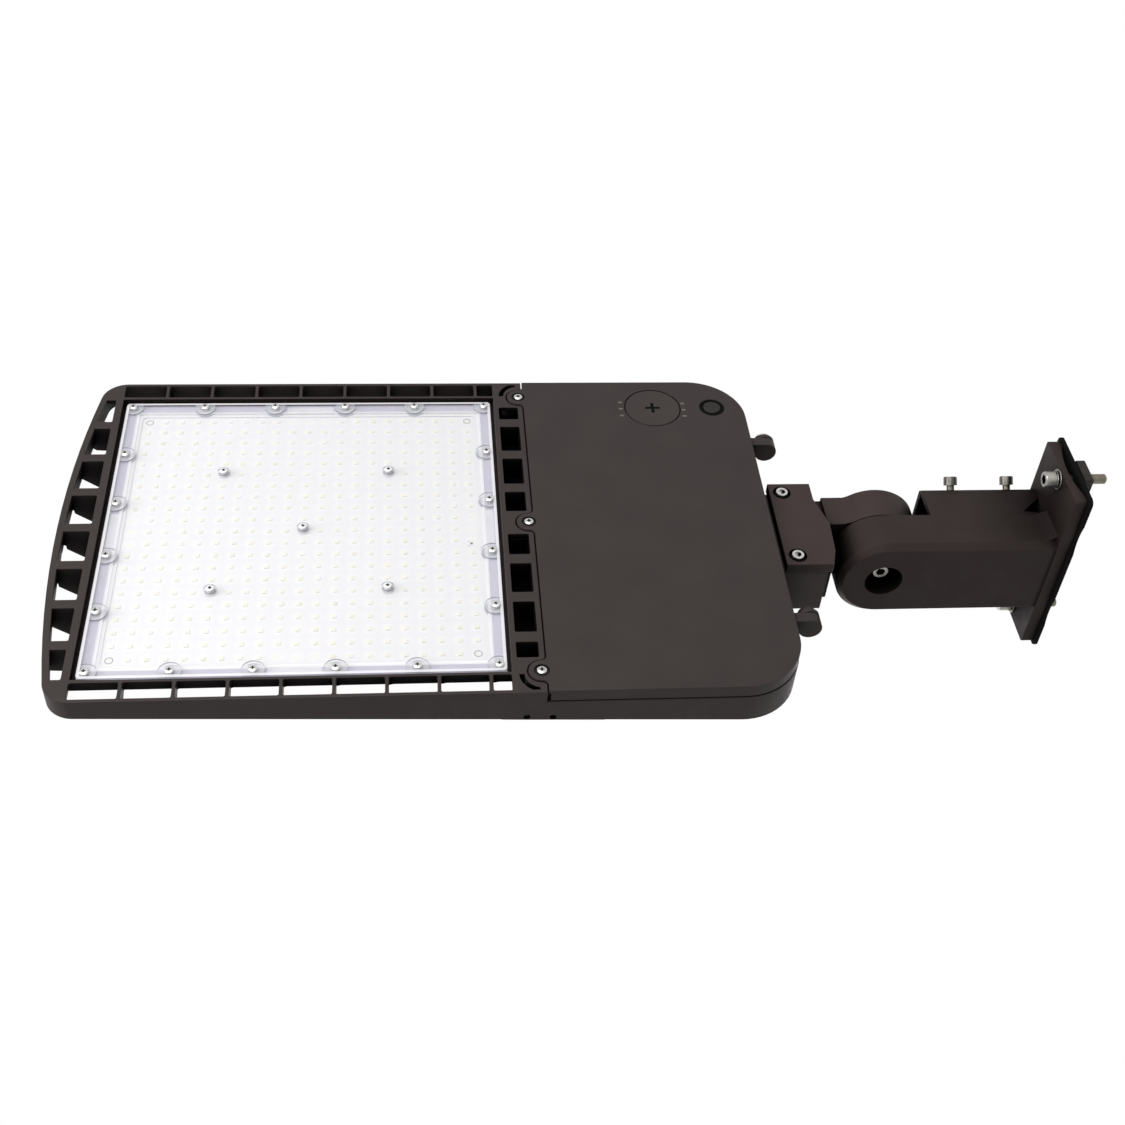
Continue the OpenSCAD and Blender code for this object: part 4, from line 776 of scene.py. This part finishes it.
# %% [markdown]
# ## The LED board
#
# The board is a white plate with 420 small LEDs on a 13 mm grid. The corners, the middle
# of each side and the five screws have none. Each LED is a low body with a yellow
# phosphor window. It repeats hundreds of times, so it has few faces: one cube, inset on
# its lit side.

# %% LED board
LED_PITCH = 13.0
LEDS = 21
BOARD_Z = -24.3
MIDDLE = (LEDS - 1) // 2


def painted_led_rings(made, stops):
    """Paints a highlight in rings about each LED: stops are colours and their distances
    from the LED as shares of the pitch."""
    tree = made.node_tree
    where = tree.nodes.new("ShaderNodeTexCoord")
    spot = where.outputs["Object"]
    for how, value in (("SUBTRACT", (LENS_X * MM, 0, 0)),
                       ("MULTIPLY", (1 / (LED_PITCH * MM), 1 / (LED_PITCH * MM), 0)),
                       ("ADD", (0.5, 0.5, 0)), ("FRACTION", None),
                       ("SUBTRACT", (0.5, 0.5, 0)), ("LENGTH", None)):
        step = tree.nodes.new("ShaderNodeVectorMath")
        step.operation = how
        tree.links.new(spot, step.inputs[0])
        if value:
            step.inputs[1].default_value = value
        spot = step.outputs["Value" if how == "LENGTH" else "Vector"]
    tint = ramp(tree, spot, stops[0][1], stops[-1][1], stops[0][0], stops[-1][0])
    for share, colour in stops[1:-1]:
        tint.node.color_ramp.elements.new(share).color = (*colour, 1)
    tree.links.new(tint, tree.nodes["Principled BSDF"].inputs["Base Color"])
    return made


# The board is painted paler round each LED and greyer between them: a painted highlight.
board_painted_highlight = painted_led_rings(finish("white board", (0.8, 0.8, 0.8), 0.42, grain=3000, depth=0.01),
               [(0.11, (0.575, 0.57, 0.505)), (0.22, (0.58, 0.58, 0.565)),
                (0.32, (0.575, 0.575, 0.57)), (0.45, (0.55, 0.55, 0.56))])


def has_led(i, j):
    """False at the corners, at the middle of each side and at the screws."""
    a, b = abs(i - MIDDLE), abs(j - MIDDLE)
    at_corner = a == MIDDLE and b == MIDDLE
    at_side = (a == MIDDLE and b <= 1) or (b == MIDDLE and a <= 1)
    at_screw = (a, b) in ((0, 0), (5, 5))
    return not (at_corner or at_side or at_screw)


def square_loop(shape, half, height, radius, steps=5):
    """The corners of a rounded square round the lens's middle, in millimetres."""
    verts = []
    for k in range(4):
        for i in range(steps + 1):
            angle = math.radians(90 * k + 90 * i / steps)
            c, t = math.cos(math.radians(90 * k + 45)), math.sin(math.radians(90 * k + 45))
            u = (half - radius) * c * math.sqrt(2) + radius * math.cos(angle)
            v = (half - radius) * t * math.sqrt(2) + radius * math.sin(angle)
            verts.append(shape.verts.new(((LENS_X + u) * MM, v * MM, height * MM)))
    return verts


def square_body(shape, steps, hollow=False):
    """Joins square loops of (half, height, corner radius); hollow closes them to a ring."""
    loops = [square_loop(shape, *step) for step in steps]
    for one, other in zip(loops, loops[1:] + loops[:1] if hollow else loops[1:]):
        for i in range(len(one)):
            shape.faces.new((one[i - 1], one[i], other[i], other[i - 1]))
    if not hollow:
        shape.faces.new(loops[0])
        shape.faces.new(loops[-1])


shape = bmesh.new()
square_body(shape, [(137.3, BOARD_Z, 3), (137.5, BOARD_Z + 0.2, 3), (137.5, BOARD_Z + 1.6, 3)])
# A white lip closes the gap round the board and lies on the housing's ledge.
square_body(shape, [(141, BOARD_Z - 0.65, 3), (141, BOARD_Z - 0.42, 3), (136, BOARD_Z - 0.42, 3),
                    (136, BOARD_Z - 0.65, 3)], hollow=True)
# Each bare corner has a ring, and one side has a dark dot between two small ones.
for s in (-1, 1):
    for t in (-1, 1):
        start = len(shape.verts)
        before = len(shape.faces)
        loops = [ring(shape, r, z, 24) for r, z in ((3.2, 0), (3.2, -0.2), (2.4, -0.2), (2.4, 0))]
        for one, other in zip(loops, loops[1:] + loops[:1]):
            bridge(shape, one, other)
        shape.verts.ensure_lookup_table()
        bmesh.ops.translate(shape, verts=shape.verts[start:], vec=Vector(
            (LENS_X + s * MIDDLE * LED_PITCH, t * MIDDLE * LED_PITCH, BOARD_Z + 0.02)) * MM)
        shape.faces.ensure_lookup_table()
        for f in shape.faces[before:]:
            f.material_index = 3
for u, v, r, index in ((-129, -16.5, 1.1, 4), (-127, -19, 0.5, 3), (-127, -14, 0.5, 3)):
    before = len(shape.faces)
    start = len(shape.verts)
    lathe(shape, [(r, -0.3), (r, 0.02)], sides=16)
    shape.verts.ensure_lookup_table()
    bmesh.ops.translate(shape, verts=shape.verts[start:],
                        vec=Vector((LENS_X + u, v, BOARD_Z)) * MM)
    shape.faces.ensure_lookup_table()
    for f in shape.faces[before:]:
        f.material_index = index
closed(shape)
one_led = bmesh.new()
bmesh.ops.create_cube(one_led, size=1, matrix=Matrix.Diagonal((2.8 * MM, 3.5 * MM, 0.7 * MM, 1)))
lit = [f for f in one_led.faces if f.normal.z < -0.5]
bmesh.ops.inset_region(one_led, faces=lit, thickness=0.45 * MM, depth=-0.12 * MM)
for f in one_led.faces:
    f.material_index = 1
for f in lit:
    f.material_index = 2
led_mesh = bpy.data.meshes.new("one_led")
one_led.to_mesh(led_mesh)
one_led.free()
count = 0
for i in range(LEDS):
    for j in range(LEDS):
        if has_led(i, j):
            start = len(shape.verts)
            shape.from_mesh(led_mesh)
            shape.verts.ensure_lookup_table()
            spot = (LENS_X + (i - MIDDLE) * LED_PITCH, (j - MIDDLE) * LED_PITCH, BOARD_Z - 0.33)
            bmesh.ops.translate(shape, verts=shape.verts[start:], vec=Vector(spot) * MM)
            count += 1
bpy.data.meshes.remove(led_mesh)
board = add_piece("led_board_dressed", shape, "head",
                  [board_painted_highlight, led_body, phosphor, print_grey, black_plastic], ["led_board"])
print("LEDs:", count, "faces:", len(board.data.polygons))

# %% [markdown]
# ## Lens and seal
#
# The lens is a moulded pane with a raised lip, and a pad as high as the lip under each
# screw. Its rim lies on a pale seal that shows through it, with a round seat under each
# pad painted greyer as shade. Inside the rim comes a low slanted wall. Five tubes lead
# the middle screws down to the board.


# %% Discs cut off at the lens's edge
def edge_disc(radius, low, high, limit, place):
    """A disc about a place on the lens, cut straight where it would pass the limit."""
    u, v = place
    disc = bmesh.new()
    bmesh.ops.create_cone(disc, cap_ends=True, segments=40, radius1=radius * MM,
                          radius2=radius * MM, depth=(high - low) * MM)
    bmesh.ops.translate(disc, verts=disc.verts, vec=Vector((u, v, (low + high) / 2)) * MM)
    for side in (Vector((1, 0, 0)), Vector((-1, 0, 0)), Vector((0, 1, 0)), Vector((0, -1, 0))):
        if side.dot(Vector((u, v, 0))) > 130:
            bmesh.ops.bisect_plane(disc, geom=disc.verts[:] + disc.edges[:] + disc.faces[:],
                                   plane_co=side * limit * MM, plane_no=side, clear_outer=True)
            bmesh.ops.holes_fill(disc, edges=[e for e in disc.edges if e.is_boundary], sides=0)
    bmesh.ops.translate(disc, verts=disc.verts, vec=(LENS_X * MM, 0, 0))
    return disc


def add_in(shape, other, pick):
    """Adds one bmesh to another; pick gives each added face its finish."""
    other.normal_update()
    for f in other.faces:
        f.material_index = pick(f)
    between = bpy.data.meshes.new("between")
    other.to_mesh(between)
    other.free()
    shape.from_mesh(between)
    bpy.data.meshes.remove(between)


# %% Seal under the lens
SEAL_IN = 141.2
SEAL_FRONT = LENS_Z + 2.8
SEAL_BACK = LENS_Z + 4.0
PAD_R = 8.4
shape = bmesh.new()
square_body(shape, [(149.9, SEAL_BACK, 2.5), (149.9, SEAL_FRONT + 0.02, 2.5),
                    (SEAL_IN, SEAL_FRONT + 0.02, 2), (SEAL_IN, SEAL_BACK, 2)], hollow=True)
before = len(shape.faces)
square_body(shape, [(SEAL_IN, SEAL_BACK, 2), (SEAL_IN, SEAL_FRONT + 0.3, 2),
                    (SEAL_IN - 0.7, SEAL_FRONT + 0.3, 2), (SEAL_IN - 0.7, SEAL_BACK, 2)],
            hollow=True)
shape.faces.ensure_lookup_table()
for f in shape.faces[before:]:
    f.material_index = 2
# Each seat is painted greyer than the seal, as painted shade.
for u, v in lens_places:
    add_in(shape, edge_disc(PAD_R, SEAL_FRONT - 0.01, SEAL_FRONT + 0.99, 149.8, (u, v)),
           lambda f: 1)
# A milky tab fills the rim in the middle of each side.
for u, v in ((1, 0), (-1, 0), (0, 1), (0, -1)):
    tab = bmesh.new()
    bmesh.ops.create_cube(tab, size=1, matrix=Matrix.Diagonal((7.8 * MM, 38 * MM, 0.6 * MM, 1)))
    bmesh.ops.bevel(tab, geom=[e for e in tab.edges if abs(e.verts[0].co.z - e.verts[1].co.z) > 0],
                    offset=2 * MM, offset_type="OFFSET", segments=4, profile=0.5, material=-1,
                    affect="EDGES")
    bmesh.ops.translate(tab, verts=tab.verts, vec=(143.4 * MM, 0, (SEAL_FRONT + 0.2) * MM))
    bmesh.ops.rotate(tab, verts=tab.verts, matrix=Matrix.Rotation(math.atan2(v, u), 3, "Z"))
    bmesh.ops.translate(tab, verts=tab.verts, vec=(LENS_X * MM, 0, 0))
    add_in(shape, tab, lambda f: 3)
add_piece("lens_seal", closed(shape), "head",
          [lens_seal, seat_painted_shade, seal_edge, seal_tab], ["lens_gasket"])
print("seats in the seal:", len(lens_places))

# %% Lens
LENS_HALF = 150
LIP_IN = 147.6
STEP = 1.3
PANE_BACK = 2.3
shape = bmesh.new()
square_body(shape, [(LIP_IN - 0.04, LENS_Z + STEP, 2), (LIP_IN, LENS_Z + 0.05, 2),
                    (LENS_HALF - 0.6, LENS_Z, 2.8), (LENS_HALF - 0.15, LENS_Z + 0.15, 3),
                    (LENS_HALF, LENS_Z + 0.5, 3), (LENS_HALF, LENS_Z + 2.78, 3),
                    (SEAL_IN, LENS_Z + 2.78, 2),
                    (SEAL_IN - 2.6, LENS_Z + PANE_BACK, 1.5)])
# On the far side the lip's steep step is painted dark as shade; on the other sides it is painted
# milky as light.
for f in shape.faces:
    low, high = [pick(v.co.z for v in f.verts) / MM - LENS_Z for pick in (min, max)]
    if high < 0.16 or (low > PANE_BACK - 0.01 and high > low + 0.1):
        f.material_index = 1
    elif low < 0.1 and high > 1:
        f.material_index = 2 if f.calc_center_median().y > 0.9 * LIP_IN * MM else 1
for u, v in lens_places:
    add_in(shape, edge_disc(PAD_R, LENS_Z + 0.02, LENS_Z + STEP + 0.02, LIP_IN - 0.05, (u, v)),
           lambda f: 3 if abs(f.normal.z) < 0.5 else 0)
for u, v in middle_places:
    start = len(shape.verts)
    lathe(shape, [(4.5, 0), (4.5, 2.0), (3.6, 2.0), (3.6, 0)], sides=32, open_top=True,
          open_bottom=True)
    shape.verts.ensure_lookup_table()
    bmesh.ops.translate(shape, verts=shape.verts[start:],
                        vec=Vector((LENS_X + u, v, LENS_Z + PANE_BACK + 0.01)) * MM)
    add_in(shape, edge_disc(4.6, LENS_Z + 0.02, LENS_Z + STEP + 0.02, LENS_HALF, (u, v)),
           lambda f: 3 if abs(f.normal.z) < 0.5 else 0)
lens = add_piece("lens_clear_pane", closed(shape), "head",
                 [lens_clear, lens_wall, lip_step_painted_shade, pad_step_painted_shade], ["lens"])
print("lens faces:", len(lens.data.polygons))

# %% [markdown]
# ## Wires
#
# Each wire in the bay has its own colour. The strands are found by walking from face to
# face, and they take the colours in turn.

# %% Wires
shape = cad_copy("internal_wires")
left = set(shape.faces)
strands = []
while left:
    reached = {next(iter(left))}
    strand = set()
    while reached:
        strand |= reached
        reached = {g for f in reached for e in f.edges for g in e.link_faces} - strand
    left -= strand
    strands.append(strand)
strands.sort(key=lambda strand: min(f.calc_center_median().y for f in strand))
for order, strand in enumerate(strands):
    for f in strand:
        f.material_index = order % 4
add_piece("bay_wires", shape, "head",
          [white_wire, black_wire, green_wire, red_wire], ["internal_wires"], smooth=60)
print("strands:", len(strands))

# %% [markdown]
# ## Floor and light
#
# The light is mounted on a pole, so the floor is two metres down and pale. The lamps are
# large and soft: one below and in front lights the lens side, one beside it lights what
# faces the far end, and a weaker one above keeps the fins readable from the other side.
# The world looks white to the camera and in reflections, and is less bright as a light.

# %% Floor
FLOOR_Z = -2.0
shape = bmesh.new()
bmesh.ops.create_grid(shape, x_segments=8, y_segments=8, size=8,
                      matrix=Matrix.Translation((0.4, 0, FLOOR_Z)))
floor_mesh = bpy.data.meshes.new("floor")
shape.to_mesh(floor_mesh)
shape.free()
floor = bpy.data.objects.new("floor", floor_mesh)
bpy.context.scene.collection.objects.link(floor)

paint = bpy.data.materials.new("pale floor")
paint.use_nodes = True
tree = paint.node_tree
skin = tree.nodes["Principled BSDF"]
tree.links.new(ramp(tree, noise(tree, 3), [0.78] * 3, [0.82] * 3), skin.inputs["Base Color"])
skin.inputs["Roughness"].default_value = 0.8
glow = tree.nodes.new("ShaderNodeEmission")
glow.inputs["Color"].default_value = (1, 1, 1, 1)
glow.inputs["Strength"].default_value = 0.5
none = tree.nodes.new("ShaderNodeEmission")
none.inputs["Strength"].default_value = 0
pick = tree.nodes.new("ShaderNodeMixShader")
both = tree.nodes.new("ShaderNodeAddShader")


def seen_directly(tree):
    """1 for camera, mirror and see-through rays, else 0."""
    path = tree.nodes.new("ShaderNodeLightPath")
    seen = reckon(tree, "MAXIMUM", path.outputs["Is Camera Ray"], path.outputs["Is Glossy Ray"])
    return reckon(tree, "MAXIMUM", seen, path.outputs["Is Transmission Ray"])


tree.links.new(seen_directly(tree), pick.inputs["Fac"])
tree.links.new(none.outputs[0], pick.inputs[1])
tree.links.new(glow.outputs[0], pick.inputs[2])
tree.links.new(skin.outputs[0], both.inputs[0])
tree.links.new(pick.outputs[0], both.inputs[1])
tree.links.new(both.outputs[0], tree.nodes["Material Output"].inputs["Surface"])
floor_mesh.materials.append(paint)
print("floor at", FLOOR_Z)

# %% World
world = bpy.data.worlds.new("studio")
bpy.context.scene.world = world
world.use_nodes = True
tree = world.node_tree
tree.nodes.clear()
shown = tree.nodes.new("ShaderNodeBackground")
shown.inputs["Color"].default_value = (1, 1, 1, 1)
fill = tree.nodes.new("ShaderNodeBackground")
fill.inputs["Color"].default_value = (1, 1, 1, 1)
fill.inputs["Strength"].default_value = 0.44
pick = tree.nodes.new("ShaderNodeMixShader")
out = tree.nodes.new("ShaderNodeOutputWorld")
tree.links.new(seen_directly(tree), pick.inputs["Fac"])
tree.links.new(fill.outputs[0], pick.inputs[1])
tree.links.new(shown.outputs[0], pick.inputs[2])
tree.links.new(pick.outputs[0], out.inputs["Surface"])


# %% Lamps
def soft_lamp(name, at, towards, size, power):
    """A square lamp of a size in metres and a power in watts, aimed at a point."""
    data = bpy.data.lights.new(name, "AREA")
    data.shape = "SQUARE"
    data.size = size
    data.energy = power
    lamp = bpy.data.objects.new(name, data)
    bpy.context.scene.collection.objects.link(lamp)
    aim = Vector(towards) - Vector(at)
    turned = aim.to_track_quat("-Z", "Y").to_matrix().to_4x4()
    lamp.matrix_world = Matrix.Translation(at) @ turned
    lamp.visible_camera = False
    return lamp


soft_lamp("lamp_below", (0.9, -0.3, -1.55), (0.5, 0, 0), 1.5, 33)
soft_lamp("lamp_beside", (2.0, -0.2, -0.5), (0.7, 0, 0), 0.8, 20)
soft_lamp("lamp_above", (0.2, 0.6, 1.7), (0.4, 0, 0), 1.6, 14)
bpy.context.scene.view_settings.view_transform = "Standard"
print("lamps made")
